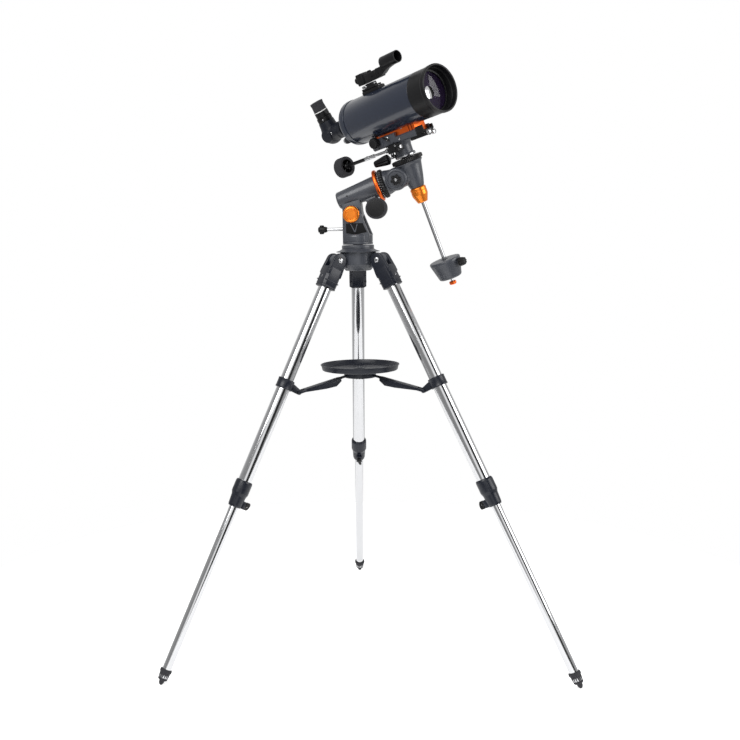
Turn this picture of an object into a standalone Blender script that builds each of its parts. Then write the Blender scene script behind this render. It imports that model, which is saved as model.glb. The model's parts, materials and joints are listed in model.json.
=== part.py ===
"""Mirror-lens telescope on an equatorial mount and a folding tripod, as separate moving pieces.

Metres, +Z up. The tripod stands on Z = 0 and the mount's right-ascension axis leans along +X.
Frames: a leg frame has its origin on the fold pin and -Z down the leg. The polar frame has its
origin on the latitude bolt and +X along the polar axis. The head frame has its origin where the
polar and declination axes cross, +X along the polar axis and +Z along the declination axis. The
saddle frame is the head frame turned about +Z, and the tube runs along its +X.
"""

from math import cos, pi, radians, sin, sqrt

import bmesh
import bpy
from mathutils import Matrix, Vector

NAME = "telescope_on_tripod"
GAP = 0.0003  # clearance between two pieces that touch
STEPS = 16  # faces round a turned piece
FINE_STEPS = 24  # faces round the optical tube
PIN_STEPS = 10  # faces round a pin, a screw or its hole

# Tripod legs, measured down the leg from the fold pin
LEG_COUNT = 3
FIRST_LEG_ANGLE = radians(90)
LEG_SPLAY = radians(27)
LEG_PIN_RADIUS_FROM_AXIS = 0.060
LEG_LENGTH = 1.064  # fold pin to the end of the foot, fully drawn out
UPPER_TUBE_RADIUS = 0.015875
UPPER_TUBE_TOP = 0.022
UPPER_TUBE_END = 0.598
LOWER_TUBE_RADIUS = 0.011
LOWER_TUBE_TOP = 0.490
TUBE_WALL = 0.0012
BRACKET_END = 0.071
BRACKET_WALL = 0.004125  # round the upper tube
BRACKET_DEPTH = 2 * (UPPER_TUBE_RADIUS + BRACKET_WALL)
BRACKET_WIDTH = BRACKET_DEPTH + 0.002
BRACKET_EYE_RADIUS = 0.017
LUG_WIDTH = 0.020
LUG_RADIUS = 0.0145
FOLD_PIN_RADIUS = 0.004
PIN_HEAD_RADIUS = 0.0068
PIN_HEAD_HEIGHT = 0.003
COLLAR_TOP = 0.562
COLLAR_RADIUS = UPPER_TUBE_RADIUS + 0.004625
COLLAR_STEP_RADIUS = LOWER_TUBE_RADIUS + 0.0062
COLLAR_LENGTH = 0.064
LOCK_KNOB_DROP = 0.018  # lock screw below the collar's step
LOCK_KNOB_RADIUS = 0.010
LOCK_SCREW_RADIUS = 0.003
FOOT_LENGTH = 0.039
FOOT_RADIUS = LOWER_TUBE_RADIUS + 0.0035
FOOT_SOCKET = 0.020
FOOT_NUB_RADIUS = 0.0060
FOOT_FLAT_DEPTH = 0.0012

# Spreader and accessory tray
CLAMP_AT = 0.318
CLAMP_HEIGHT = 0.024
CLAMP_RADIUS = UPPER_TUBE_RADIUS + 0.004625
SPREADER_PIN_OUT = CLAMP_RADIUS + 0.0215  # spreader pin to the leg's centre line
SPREADER_PIN_RADIUS = 0.003
SPREADER_EAR_WIDTH = 0.008
SPREADER_RISE = radians(11.5)
SPREADER_HUB_PIN_RADIUS = 0.030
ARM_WIDTH = 0.018
ARM_THICKNESS = 0.007
ARM_TIP_WIDTH = 0.009
TRAY_RADIUS = 0.095
TRAY_FLOOR = 0.003
TRAY_RIM_HEIGHT = 0.011
TRAY_HUB_RADIUS = 0.040
TRAY_HUB_HEIGHT = 0.018
TRAY_ABOVE_PIN = 0.012

# Tripod hub and azimuth base
HUB_TOP_ABOVE_PIN = 0.035
HUB_TOP_RADIUS = 0.0385
HUB_BELOW_PIN = 0.026
SPIGOT_RADIUS = 0.012
SPIGOT_LENGTH = 0.022
BASE_RADIUS = 0.036
BASE_HEIGHT = 0.026
FORK_GAP = 0.035
FORK_CHEEK = 0.0105
FORK_EYE_RADIUS = 0.0215
LATITUDE_HEIGHT = 0.072  # latitude bolt above the azimuth base
LATITUDE_OFFSET = -0.010
LATITUDE_BOLT_RADIUS = 0.005
CAP_RADIUS = 0.0200
CAP_HEIGHT = 0.0065
SCREW_BELOW_BOLT = 0.034
SCREW_RADIUS = 0.004
SCREW_REACH = 0.058  # from the fork out to the handle
HANDLE_LENGTH = 0.022
HANDLE_RADIUS = 0.0085

# Equatorial head
AZIMUTH = radians(-10.8)
LATITUDE = radians(19)
HOUR_TURN = radians(8.5)
DECLINATION_TURN = radians(-37)
POLAR_RISE = 0.042  # polar axis above the latitude bolt
HEAD_REACH = 0.163  # latitude bolt to the declination axis, along the polar axis
BARREL_BACK = -0.021
BARREL_FRONT = 0.0750
BARREL_BACK_RADIUS = 0.0208
BARREL_FRONT_RADIUS = 0.0262
LOBE_RADIUS = 0.0235
POLAR_SHAFT_RADIUS = 0.010
POLAR_SHAFT_LENGTH = 0.085
RA_RING_RADIUS = 0.0380
RA_RING_WIDTH = 0.0080
RA_CIRCLE_RADIUS = 0.0345
RA_CIRCLE_WIDTH = 0.0135
RA_WORM_X = 0.0660
RA_WORM_Z = -0.0110
WORM_SHAFT_RADIUS = 0.0035
SLOW_KNOB_RADIUS = 0.0245
SLOW_KNOB_LENGTH = 0.027
RA_KNOB_REACH = 0.052
HEAD_BARREL_RADIUS = 0.0255
HEAD_BOSS_X = -0.037
HEAD_BOSS_RADIUS = 0.0268
HEAD_BOSS_REACH = 0.031
DEC_TOP = 0.0270
DEC_TOP_RADIUS = 0.0335
DEC_BOTTOM = -0.0360
DEC_BOTTOM_RADIUS = 0.0165
DEC_SHAFT_RADIUS = 0.008
DEC_SHAFT_LENGTH = 0.040
DEC_NECK_RADIUS = 0.012
DEC_CIRCLE_RADIUS = 0.0370
DEC_CIRCLE_HEIGHT = 0.0110
COLLAR_NUT_HEIGHT = 0.037
COLLAR_NUT_RADIUS = 0.0190
ROD_RADIUS = 0.0048
ROD_TOP = -0.0140
ROD_END = -0.2670
WEIGHT_TOP = -0.2190
WEIGHT_HEIGHT = 0.0465
WEIGHT_TOP_RADIUS = 0.0370
WEIGHT_BOTTOM_RADIUS = 0.0255
WEIGHT_KNOB_TURN = radians(-30)
WEIGHT_KNOB_DROP = 0.015
WEIGHT_KNOB_RADIUS = 0.011
STOP_RADIUS = 0.0085

# Saddle and dovetail
PEDESTAL_RADIUS = 0.0205
SADDLE_BOTTOM = 0.0755
SADDLE_HEIGHT = 0.0265
SADDLE_STEP_AT = 0.014  # in front of it the saddle's sides are lower
SADDLE_STEP_HEIGHT = 0.0925
SADDLE_BACK = -0.064
SADDLE_LENGTH = 0.164
SADDLE_WIDTH = 0.056
CHANNEL_FLOOR = 0.0827
DOVETAIL_WIDTH = 0.044
DOVETAIL_NECK = 0.037
DOVETAIL_LENGTH = 0.130
SADDLE_KNOB_AT = -0.042
SADDLE_KNOB_RISE = 0.0125  # above the channel's floor
SADDLE_KNOB_RADIUS = 0.0130
SADDLE_KNOB_LENGTH = 0.018
DEC_LOCK_HEIGHT = 0.0480
DEC_LOCK_TURN = radians(205)
DEC_LOCK_START = 0.038
DEC_LOCK_LENGTH = 0.042
DEC_LOCK_RADIUS = 0.0130
DEC_WORM_SIDE = -0.0270
DEC_WORM_HEIGHT = 0.0675
DEC_KNOB_REACH = 0.162

# Optical tube, measured along the saddle frame's +X, and from the tube's axis
TUBE_AXIS_HEIGHT = 0.155
TUBE_RADIUS = 0.053
TUBE_SHELL = 0.0016
TUBE_BACK = -0.098
TUBE_FRONT = 0.113
FRONT_CELL_LENGTH = 0.050
FRONT_CELL_LIP = 0.0015
FRONT_CELL_WALL = 0.004
CORRECTOR_DEPTH = 0.028
CORRECTOR_THICKNESS = 0.010
REAR_CELL_LENGTH = 0.024
REAR_CELL_ROUND = 0.014
REAR_PORT_RADIUS = 0.021
REAR_PORT_LENGTH = 0.010
LIGHT_PATH_RADIUS = 0.0125
MIRROR_RADIUS = 0.047
MIRROR_THICKNESS = 0.010
MIRROR_AT = -0.082
BAFFLE_RADIUS = 0.0140
BAFFLE_LENGTH = 0.060
FOCUS_KNOB_RADIUS = 0.0085
FOCUS_KNOB_LENGTH = 0.020
FOCUS_KNOB_SIDE = -0.026
FOCUS_KNOB_DROP = -0.030
ELBOW_BEHIND = 0.067  # elbow's centre behind the rear port
ELBOW_RADIUS = 0.0270
NOSE_RADIUS = 0.0205
HOLDER_RADIUS = 0.0188
HOLDER_TOP = 0.046
EYEPIECE_TOP = 0.085
DIAGONAL_TURN = radians(10)  # of the diagonal about the tube's axis
EYEPIECE_RADIUS = 0.0165
EYEPIECE_BARREL_RADIUS = 0.0120

# Finder, measured along the tube and from its axis
FINDER_AT = -0.022
FINDER_FOOT_LENGTH = 0.054
FINDER_FOOT_WIDTH = 0.024
FINDER_STEM_TOP = 0.0730
FINDER_BODY_BOTTOM = 0.0748
FINDER_BODY_HEIGHT = 0.026
FINDER_BODY_BACK = -0.052
FINDER_BODY_LENGTH = 0.088
FINDER_BODY_WIDTH = 0.024
FINDER_RING_HEIGHT = 0.101
FINDER_RING_RADIUS = 0.0140
FINDER_RING_WALL = 0.0016
FINDER_RING_BACK = 0.033
FINDER_RING_LENGTH = 0.047
FINDER_KNOB_RADIUS = 0.0080

# Worked out from the sizes above
LEG_PIN_HEIGHT = (LEG_LENGTH - FOOT_NUB_RADIUS) * cos(LEG_SPLAY) + FOOT_NUB_RADIUS - FOOT_FLAT_DEPTH
FOOT_REACH = LEG_PIN_RADIUS_FROM_AXIS + (LEG_LENGTH - FOOT_NUB_RADIUS) * sin(LEG_SPLAY)
HUB_TOP = LEG_PIN_HEIGHT + HUB_TOP_ABOVE_PIN
BASE_BOTTOM = HUB_TOP + GAP
TUBE_OUTER_END = TUBE_FRONT + FRONT_CELL_LENGTH
PORT_END = TUBE_BACK - REAR_CELL_LENGTH - REAR_PORT_LENGTH
ELBOW_X = PORT_END - ELBOW_BEHIND
BOOT_REACH = LEG_PIN_RADIUS_FROM_AXIS + (LEG_LENGTH - FOOT_LENGTH + FOOT_SOCKET + 0.006) * sin(LEG_SPLAY)
BOOT_RADIUS = FOOT_RADIUS - 0.003  # at the boot's lower shoulder, its outermost edge
FOOTPRINT_BACK = BOOT_REACH + BOOT_RADIUS * cos(LEG_SPLAY)
FOOTPRINT_FRONT = BOOT_REACH / 2 + BOOT_RADIUS * sqrt(1 - (sin(LEG_SPLAY) / 2) ** 2)

TO_X = (0, pi / 2, 0)  # turns a piece's +Z to +X
TO_BACK = (0, -pi / 2, 0)  # +Z to -X
TO_FRONT = (pi / 2, 0, 0)  # +Z to -Y

PARTS = None
CUTTERS = None


# ---------------------------------------------------------------- scene and materials

def clear_scene():
    for obj in list(bpy.data.objects):
        bpy.data.objects.remove(obj, do_unlink=True)


def new_collection(name):
    collection = bpy.data.collections.new(name)
    bpy.context.scene.collection.children.link(collection)
    return collection


def material(name, colour, roughness, metallic=0.0):
    found = bpy.data.materials.get(name)
    if found:
        return found
    made = bpy.data.materials.new(name)
    made.use_nodes = True
    shader = made.node_tree.nodes["Principled BSDF"]
    shader.inputs["Base Color"].default_value = (*colour, 1.0)
    shader.inputs["Roughness"].default_value = roughness
    shader.inputs["Metallic"].default_value = metallic
    made.diffuse_color = (*colour, 1.0)
    return made


def grey_paint():
    return material("grey_paint", (0.085, 0.090, 0.105), 0.42)


def dark_plastic():
    return material("dark_plastic", (0.026, 0.030, 0.042), 0.38)


def black_plastic():
    return material("black_plastic", (0.012, 0.012, 0.013), 0.45)


def rubber():
    return material("rubber", (0.030, 0.030, 0.032), 0.80)


def steel():
    return material("polished_steel", (0.72, 0.71, 0.69), 0.16, 1.0)


def orange_metal():
    return material("orange_anodised", (0.80, 0.25, 0.03), 0.30, 0.6)


def orange_paint():
    return material("orange_paint", (0.82, 0.12, 0.015), 0.35)


def blue_enamel():
    return material("blue_enamel", (0.038, 0.045, 0.066), 0.16)


def cast_grey():
    return material("cast_grey", (0.10, 0.10, 0.105), 0.50)


def lens_glass():
    return material("coated_glass", (0.10, 0.07, 0.14), 0.05)


def mirror_silver():
    return material("mirror_silver", (0.90, 0.90, 0.92), 0.03, 1.0)


# ---------------------------------------------------------------- shapes

def frame_at(name, parent, location=(0, 0, 0), turn=(0, 0, 0)):
    """An empty that other pieces hang from, on its joint's axis."""
    empty = bpy.data.objects.new(name, None)
    empty.empty_display_size = 0.02
    bpy.context.scene.collection.objects.link(empty)
    empty.parent = parent
    empty.location = location
    empty.rotation_euler = turn
    return empty


def add_object(name, data, finish, parent, location, turn):
    obj = bpy.data.objects.new(name, data)
    PARTS.objects.link(obj)
    obj.parent = parent
    obj.location = location
    obj.rotation_euler = turn
    if finish:
        data.materials.append(finish)
    return obj


def mesh_from(shape, name):
    bmesh.ops.recalc_face_normals(shape, faces=shape.faces)
    mesh = bpy.data.meshes.new(name)
    shape.to_mesh(mesh)
    shape.free()
    return mesh


def turned(name, profile, finish, parent, location=(0, 0, 0), turn=(0, 0, 0), steps=STEPS):
    """A turned piece. The profile's (radius, height) points run down its outer side from the top,
    from axis to axis, or round a closed loop where the piece is bored."""
    bored = profile[0][0] > 0
    mesh = bpy.data.meshes.new(name)
    points = [(radius, 0.0, height) for radius, height in profile]
    edges = [(i, i + 1) for i in range(len(points) - 1)]
    if bored:
        edges.append((len(points) - 1, 0))
    mesh.from_pydata(points, edges, [])
    obj = add_object(name, mesh, finish, parent, location, turn)
    screw = obj.modifiers.new("turn", "SCREW")
    screw.steps = steps
    screw.render_steps = steps
    screw.use_merge_vertices = True
    screw.merge_threshold = 0.00001
    screw.use_smooth_shade = False
    return obj


def rod(name, radius, top, bottom, finish, parent, location=(0, 0, 0), turn=(0, 0, 0), steps=STEPS):
    """A plain round bar from top to bottom along its own Z."""
    profile = [(0, top), (radius, top), (radius, bottom), (0, bottom)]
    return turned(name, profile, finish, parent, location, turn, steps)


def pipe(name, radius, bore, top, bottom, finish, parent, location=(0, 0, 0), turn=(0, 0, 0), steps=STEPS):
    profile = [(radius, top), (radius, bottom), (bore, bottom), (bore, top)]
    return turned(name, profile, finish, parent, location, turn, steps)


def block(name, low, high, finish, parent, location=(0, 0, 0), turn=(0, 0, 0), rounding=0.0):
    """A box between two corners, its edges rounded."""
    shape = bmesh.new()
    bmesh.ops.create_cube(shape, size=1.0)
    low = Vector(low)
    high = Vector(high)
    bmesh.ops.scale(shape, vec=high - low, verts=shape.verts)
    bmesh.ops.translate(shape, vec=(low + high) / 2, verts=shape.verts)
    obj = add_object(name, mesh_from(shape, name), finish, parent, location, turn)
    if rounding:
        bevel = obj.modifiers.new("rounding", "BEVEL")
        bevel.width = rounding
        bevel.segments = 1
        bevel.limit_method = "ANGLE"
    return obj


def plate(name, outline, thickness, finish, parent, location=(0, 0, 0), turn=(0, 0, 0)):
    """A flat outline in its own XY plane, with its thickness centred on that plane."""
    curve = bpy.data.curves.new(name, "CURVE")
    curve.dimensions = "2D"
    curve.fill_mode = "BOTH"
    curve.extrude = thickness / 2
    spline = curve.splines.new("POLY")
    spline.points.add(len(outline) - 1)
    for point, (x, y) in zip(spline.points, outline):
        point.co = (x, y, 0, 1)
    spline.use_cyclic_u = True
    guide = bpy.data.objects.new(name + "_outline", curve)
    bpy.context.scene.collection.objects.link(guide)
    graph = bpy.context.evaluated_depsgraph_get()
    mesh = bpy.data.meshes.new_from_object(guide.evaluated_get(graph))
    bpy.data.objects.remove(guide, do_unlink=True)
    shape = bmesh.new()
    shape.from_mesh(mesh)
    bmesh.ops.remove_doubles(shape, verts=shape.verts, dist=0.00001)
    bmesh.ops.recalc_face_normals(shape, faces=shape.faces)
    shape.to_mesh(mesh)
    shape.free()
    mesh.materials.clear()
    return add_object(name, mesh, finish, parent, location, turn)


def fluted(
    name, radius, flute, lobes, length, finish, parent, location=(0, 0, 0), turn=(0, 0, 0), taper=1.0
):
    """A hand knob from its own Z = 0 to length, with lobes round it, narrowing to taper at the far end."""
    sides = lobes * 4
    shape = bmesh.new()
    bmesh.ops.create_cone(
        shape, cap_ends=True, segments=sides, radius1=radius, radius2=radius, depth=length
    )
    for vert in shape.verts:
        step = round(vert.co.xy.angle_signed(Vector((1, 0))) / (2 * pi) * sides)
        reach = 1 - flute / radius * (0.5 - 0.5 * cos(step * pi / 2))
        far = vert.co.z > 0
        vert.co.xy *= reach * (taper if far else 1.0)
        vert.co.z += length / 2
    return add_object(name, mesh_from(shape, name), finish, parent, location, turn)


def arc(centre, radius, start, end, count):
    """Points round a centre from one angle in degrees to another."""
    angles = [radians(start + (end - start) * i / (count - 1)) for i in range(count)]
    return [(centre[0] + radius * cos(a), centre[1] + radius * sin(a)) for a in angles]


def combine(obj, tool, operation):
    PARTS.objects.unlink(tool)
    CUTTERS.objects.link(tool)
    tool.hide_render = True
    tool.display_type = "WIRE"
    boolean = obj.modifiers.new(tool.name, "BOOLEAN")
    boolean.operation = operation
    boolean.solver = "EXACT"
    boolean.object = tool
    return obj


def join(obj, *tools):
    for tool in tools:
        combine(obj, tool, "UNION")
    return obj


def cut(obj, *tools):
    for tool in tools:
        combine(obj, tool, "DIFFERENCE")
    return obj


# ---------------------------------------------------------------- tripod

def leg_angle(index):
    return FIRST_LEG_ANGLE + index * 2 * pi / LEG_COUNT


def leg_frame(root, index):
    angle = leg_angle(index)
    place = (LEG_PIN_RADIUS_FROM_AXIS * cos(angle), LEG_PIN_RADIUS_FROM_AXIS * sin(angle), LEG_PIN_HEIGHT)
    return frame_at(f"leg_{index + 1}_frame", root, place, (0, -LEG_SPLAY, angle))


def make_hub(root):
    shoulder = LEG_PIN_RADIUS_FROM_AXIS - BRACKET_EYE_RADIUS - 0.001
    profile = [
        (0, HUB_TOP_ABOVE_PIN),
        (HUB_TOP_RADIUS, HUB_TOP_ABOVE_PIN),
        (HUB_TOP_RADIUS + 0.001, HUB_TOP_ABOVE_PIN - 0.008),
        (shoulder, 0.012),
        (shoulder, -0.012),
        (0.030, -HUB_BELOW_PIN),
        (0, -HUB_BELOW_PIN),
    ]
    hub = turned("tripod_hub", profile, grey_paint(), root, (0, 0, LEG_PIN_HEIGHT))
    for index in range(LEG_COUNT):
        pin = LEG_PIN_RADIUS_FROM_AXIS
        outline = (
            [(0.020, 0.022), (pin - 0.006, LUG_RADIUS)]
            + arc((pin, 0), LUG_RADIUS, 90, -90, 9)
            + [(0.020, -HUB_BELOW_PIN + 0.002)]
        )
        turn = (pi / 2, 0, leg_angle(index))
        lug = plate(f"hub_lug_{index + 1}", outline, LUG_WIDTH, None, root, (0, 0, LEG_PIN_HEIGHT), turn)
        join(hub, lug)
    for index in range(LEG_COUNT):
        angle = leg_angle(index)
        out = LEG_PIN_RADIUS_FROM_AXIS
        place = (out * cos(angle), out * sin(angle), LEG_PIN_HEIGHT)
        hole = rod(
            f"hub_pin_hole_{index + 1}", FOLD_PIN_RADIUS + GAP, LUG_WIDTH, -LUG_WIDTH, None, root,
            place, (pi / 2, 0, angle), PIN_STEPS,
        )
        cut(hub, hole)
    socket = rod(
        "hub_socket", SPIGOT_RADIUS + GAP, HUB_TOP_ABOVE_PIN + 0.01,
        HUB_TOP_ABOVE_PIN - SPIGOT_LENGTH - GAP, None, root, (0, 0, LEG_PIN_HEIGHT),
    )
    return cut(hub, socket)


def make_bracket(leg, number):
    half = BRACKET_DEPTH / 2
    outline = (
        arc((0, 0), BRACKET_EYE_RADIUS, 0, 180, 11)
        + [(-half, -0.030), (-half, -BRACKET_END), (half, -BRACKET_END), (half, -0.030)]
    )
    turn = (pi / 2, 0, 0)
    bracket = plate(f"leg_bracket_{number}", outline, BRACKET_WIDTH, dark_plastic(), leg, turn=turn)
    slot_half = LUG_WIDTH / 2 + 0.0006
    slot = block(
        f"bracket_slot_{number}", (-0.04, -slot_half, -LUG_RADIUS - 0.005), (0.04, slot_half, 0.04),
        None, leg,
    )
    socket = rod(
        f"bracket_socket_{number}", UPPER_TUBE_RADIUS + GAP, -UPPER_TUBE_TOP + GAP, -BRACKET_END - 0.01,
        None, leg,
    )
    hole = rod(
        f"bracket_hole_{number}", FOLD_PIN_RADIUS + GAP, BRACKET_WIDTH, -BRACKET_WIDTH, None, leg,
        turn=turn, steps=PIN_STEPS,
    )
    return cut(bracket, slot, socket, hole)


def make_pin(leg, number):
    """The fold bolt, with a domed head on the side that faces anticlockwise round the tripod."""
    inside = BRACKET_WIDTH / 2 + GAP
    profile = [
        (0, inside + PIN_HEAD_HEIGHT),
        (PIN_HEAD_RADIUS * 0.7, inside + PIN_HEAD_HEIGHT),
        (PIN_HEAD_RADIUS, inside + PIN_HEAD_HEIGHT * 0.4),
        (PIN_HEAD_RADIUS, inside),
        (FOLD_PIN_RADIUS, inside),
        (FOLD_PIN_RADIUS, -inside),
        (PIN_HEAD_RADIUS, -inside),
        (PIN_HEAD_RADIUS, -inside - PIN_HEAD_HEIGHT),
        (0, -inside - PIN_HEAD_HEIGHT),
    ]
    return turned(f"leg_pivot_bolt_{number}", profile, steel(), leg, turn=TO_FRONT, steps=PIN_STEPS)


def make_leg_tubes(leg, number):
    pipe(
        f"leg_upper_tube_{number}", UPPER_TUBE_RADIUS, UPPER_TUBE_RADIUS - TUBE_WALL,
        -UPPER_TUBE_TOP, -UPPER_TUBE_END, steel(), leg,
    )
    pipe(
        f"leg_lower_tube_{number}", LOWER_TUBE_RADIUS, LOWER_TUBE_RADIUS - TUBE_WALL,
        -LOWER_TUBE_TOP, -(LEG_LENGTH - FOOT_LENGTH + FOOT_SOCKET), steel(), leg,
    )


def make_collar(leg, number):
    step = UPPER_TUBE_END + GAP
    end = COLLAR_TOP + COLLAR_LENGTH
    profile = [
        (COLLAR_RADIUS, -COLLAR_TOP),
        (COLLAR_RADIUS, -step),
        (COLLAR_STEP_RADIUS, -step - 0.002),
        (COLLAR_STEP_RADIUS - 0.001, -end),
        (LOWER_TUBE_RADIUS + GAP, -end),
        (LOWER_TUBE_RADIUS + GAP, -step),
        (UPPER_TUBE_RADIUS + GAP, -step),
        (UPPER_TUBE_RADIUS + GAP, -COLLAR_TOP),
    ]
    collar = turned(f"leg_lock_collar_{number}", profile, dark_plastic(), leg)
    middle = step + LOCK_KNOB_DROP
    half = LOCK_KNOB_RADIUS
    boss = block(
        f"lock_boss_{number}", (-COLLAR_STEP_RADIUS - 0.006, -half, -middle - half),
        (-LOWER_TUBE_RADIUS - 0.003, half, -middle + half), None, leg,
    )
    hole = rod(
        f"lock_hole_{number}", LOCK_SCREW_RADIUS + GAP, 0.04, LOWER_TUBE_RADIUS, None, leg,
        (0, 0, -middle), TO_BACK, PIN_STEPS,
    )
    return cut(join(collar, boss), hole)


def make_lock_knob(leg, number):
    middle = UPPER_TUBE_END + GAP + LOCK_KNOB_DROP
    start = COLLAR_STEP_RADIUS + 0.006 + GAP
    knob = fluted(
        f"leg_lock_knob_{number}", LOCK_KNOB_RADIUS, 0.0025, 4, 0.014, black_plastic(), leg,
        (-start, 0, -middle), TO_BACK,
    )
    screw = rod(
        f"lock_screw_{number}", LOCK_SCREW_RADIUS, start + 0.005, LOWER_TUBE_RADIUS + GAP * 2, None, leg,
        (0, 0, -middle), TO_BACK, PIN_STEPS,
    )
    return join(knob, screw)


def make_foot(leg, root, number):
    """The rubber foot on the lower tube's end, its tip cut flat where it meets the ground."""
    top = LEG_LENGTH - FOOT_LENGTH
    centre = LEG_LENGTH - FOOT_NUB_RADIUS
    nub = FOOT_NUB_RADIUS
    profile = (
        [(0, -top), (FOOT_RADIUS - 0.001, -top), (FOOT_RADIUS, -top - 0.006)]
        + [(FOOT_RADIUS - 0.003, -top - FOOT_SOCKET - 0.006), (nub + 0.001, -centre + nub)]
        + [(nub * cos(radians(a)), -centre - nub * sin(radians(a))) for a in (0, 30, 60)]
        + [(0, -centre - nub)]
    )
    foot = turned(f"leg_foot_{number}", profile, rubber(), leg, steps=14)
    socket = rod(
        f"foot_socket_{number}", LOWER_TUBE_RADIUS + GAP, -top + 0.01, -top - FOOT_SOCKET - GAP, None, leg
    )
    ground = block(f"foot_ground_{number}", (-1, -1, -0.05), (1, 1, 0), None, root)
    return cut(foot, socket, ground)


def spreader_pin():
    """The spreader pin's place in a leg frame, as (x, z)."""
    return -SPREADER_PIN_OUT, -CLAMP_AT - 0.004


def spreader_pin_in_tripod():
    """The spreader pin's (radius, height) in the open tripod."""
    x, z = spreader_pin()
    radius = LEG_PIN_RADIUS_FROM_AXIS + x * cos(LEG_SPLAY) - z * sin(LEG_SPLAY)
    return radius, LEG_PIN_HEIGHT + x * sin(LEG_SPLAY) + z * cos(LEG_SPLAY)


def spreader_length():
    return (spreader_pin_in_tripod()[0] - SPREADER_HUB_PIN_RADIUS) / cos(SPREADER_RISE)


def make_clamp(leg, number):
    x, z = spreader_pin()
    half = CLAMP_HEIGHT / 2
    clamp = pipe(
        f"spreader_clamp_{number}", CLAMP_RADIUS, UPPER_TUBE_RADIUS + GAP, -CLAMP_AT + half,
        -CLAMP_AT - half, dark_plastic(), leg,
    )
    eye = 0.0065
    ear_root = -(UPPER_TUBE_RADIUS + CLAMP_RADIUS) / 2
    outline = (
        [(ear_root, -CLAMP_AT + half - 0.002), (x, z + eye)]
        + arc((x, z), eye, 100, 260, 7)
        + [(ear_root, -CLAMP_AT - half + 0.002)]
    )
    ear = plate(f"clamp_ear_{number}", outline, SPREADER_EAR_WIDTH, None, leg, turn=(pi / 2, 0, 0))
    hole = rod(
        f"ear_hole_{number}", SPREADER_PIN_RADIUS + GAP, 0.02, -0.02, None, leg,
        (x, 0, z), TO_FRONT, PIN_STEPS,
    )
    return cut(join(clamp, ear), hole)


def make_spreader_arm(root, index):
    """An arm from its pin on a leg clamp to the tray's hub, along its own -X."""
    number = index + 1
    radius, height = spreader_pin_in_tripod()
    angle = leg_angle(index)
    arm = frame_at(
        f"spreader_arm_{number}_frame", root, (radius * cos(angle), radius * sin(angle), height),
        (0, SPREADER_RISE, angle),
    )
    length = spreader_length()
    half = ARM_THICKNESS / 2
    neck = 0.030
    outline = [
        (0.006, -ARM_WIDTH / 2), (0.006, ARM_WIDTH / 2), (-length + neck, ARM_WIDTH / 2),
        (-length + neck - 0.008, ARM_TIP_WIDTH / 2), (-length - 0.005, ARM_TIP_WIDTH / 2),
        (-length - 0.005, -ARM_TIP_WIDTH / 2), (-length + neck - 0.008, -ARM_TIP_WIDTH / 2),
        (-length + neck, -ARM_WIDTH / 2),
    ]
    bar = plate(f"spreader_arm_{number}", outline, ARM_THICKNESS, dark_plastic(), arm)
    slot_half = SPREADER_EAR_WIDTH / 2 + 0.0006
    slot = block(f"arm_slot_{number}", (-0.016, -slot_half, -0.02), (0.02, slot_half, 0.02), None, arm)
    pin = rod(
        f"arm_pin_{number}", SPREADER_PIN_RADIUS, ARM_WIDTH / 2 - 0.001, -ARM_WIDTH / 2 + 0.001, None, arm,
        turn=TO_FRONT, steps=PIN_STEPS,
    )
    rib = block(
        f"arm_rib_{number}", (-length + neck, -0.002, -half - 0.004), (-0.025, 0.002, 0), None, arm
    )
    return join(cut(join(bar, rib), slot), pin)


def make_tray(root):
    """The dish, with the slotted hub that the three arms meet under it."""
    pin_height = spreader_pin_in_tripod()[1] + spreader_length() * sin(SPREADER_RISE)
    floor = pin_height + TRAY_ABOVE_PIN
    top = TRAY_FLOOR + TRAY_RIM_HEIGHT
    wall = 0.0025
    profile = [
        (0, TRAY_FLOOR),
        (TRAY_RADIUS - 0.014, TRAY_FLOOR),
        (TRAY_RADIUS - wall, top),
        (TRAY_RADIUS, top),
        (TRAY_RADIUS - 0.010, 0),
        (TRAY_HUB_RADIUS, 0),
        (TRAY_HUB_RADIUS - 0.002, -TRAY_HUB_HEIGHT),
        (0, -TRAY_HUB_HEIGHT),
    ]
    frame = frame_at("tray_frame", root, (0, 0, floor))
    tray = turned("accessory_tray", profile, dark_plastic(), frame, steps=FINE_STEPS)
    for index in range(LEG_COUNT):
        half = ARM_TIP_WIDTH / 2 + 0.0008
        slot = block(
            f"tray_slot_{index + 1}", (0.0175, -half, -0.04), (0.06, half, -0.0015), None, frame,
            turn=(0, 0, leg_angle(index)),
        )
        cut(tray, slot)
    return tray


def make_leg(root, index):
    number = index + 1
    leg = leg_frame(root, index)
    make_bracket(leg, number)
    make_pin(leg, number)
    make_leg_tubes(leg, number)
    make_collar(leg, number)
    make_lock_knob(leg, number)
    make_foot(leg, root, number)
    make_clamp(leg, number)
    make_spreader_arm(root, index)


# ---------------------------------------------------------------- azimuth base and latitude

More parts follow.
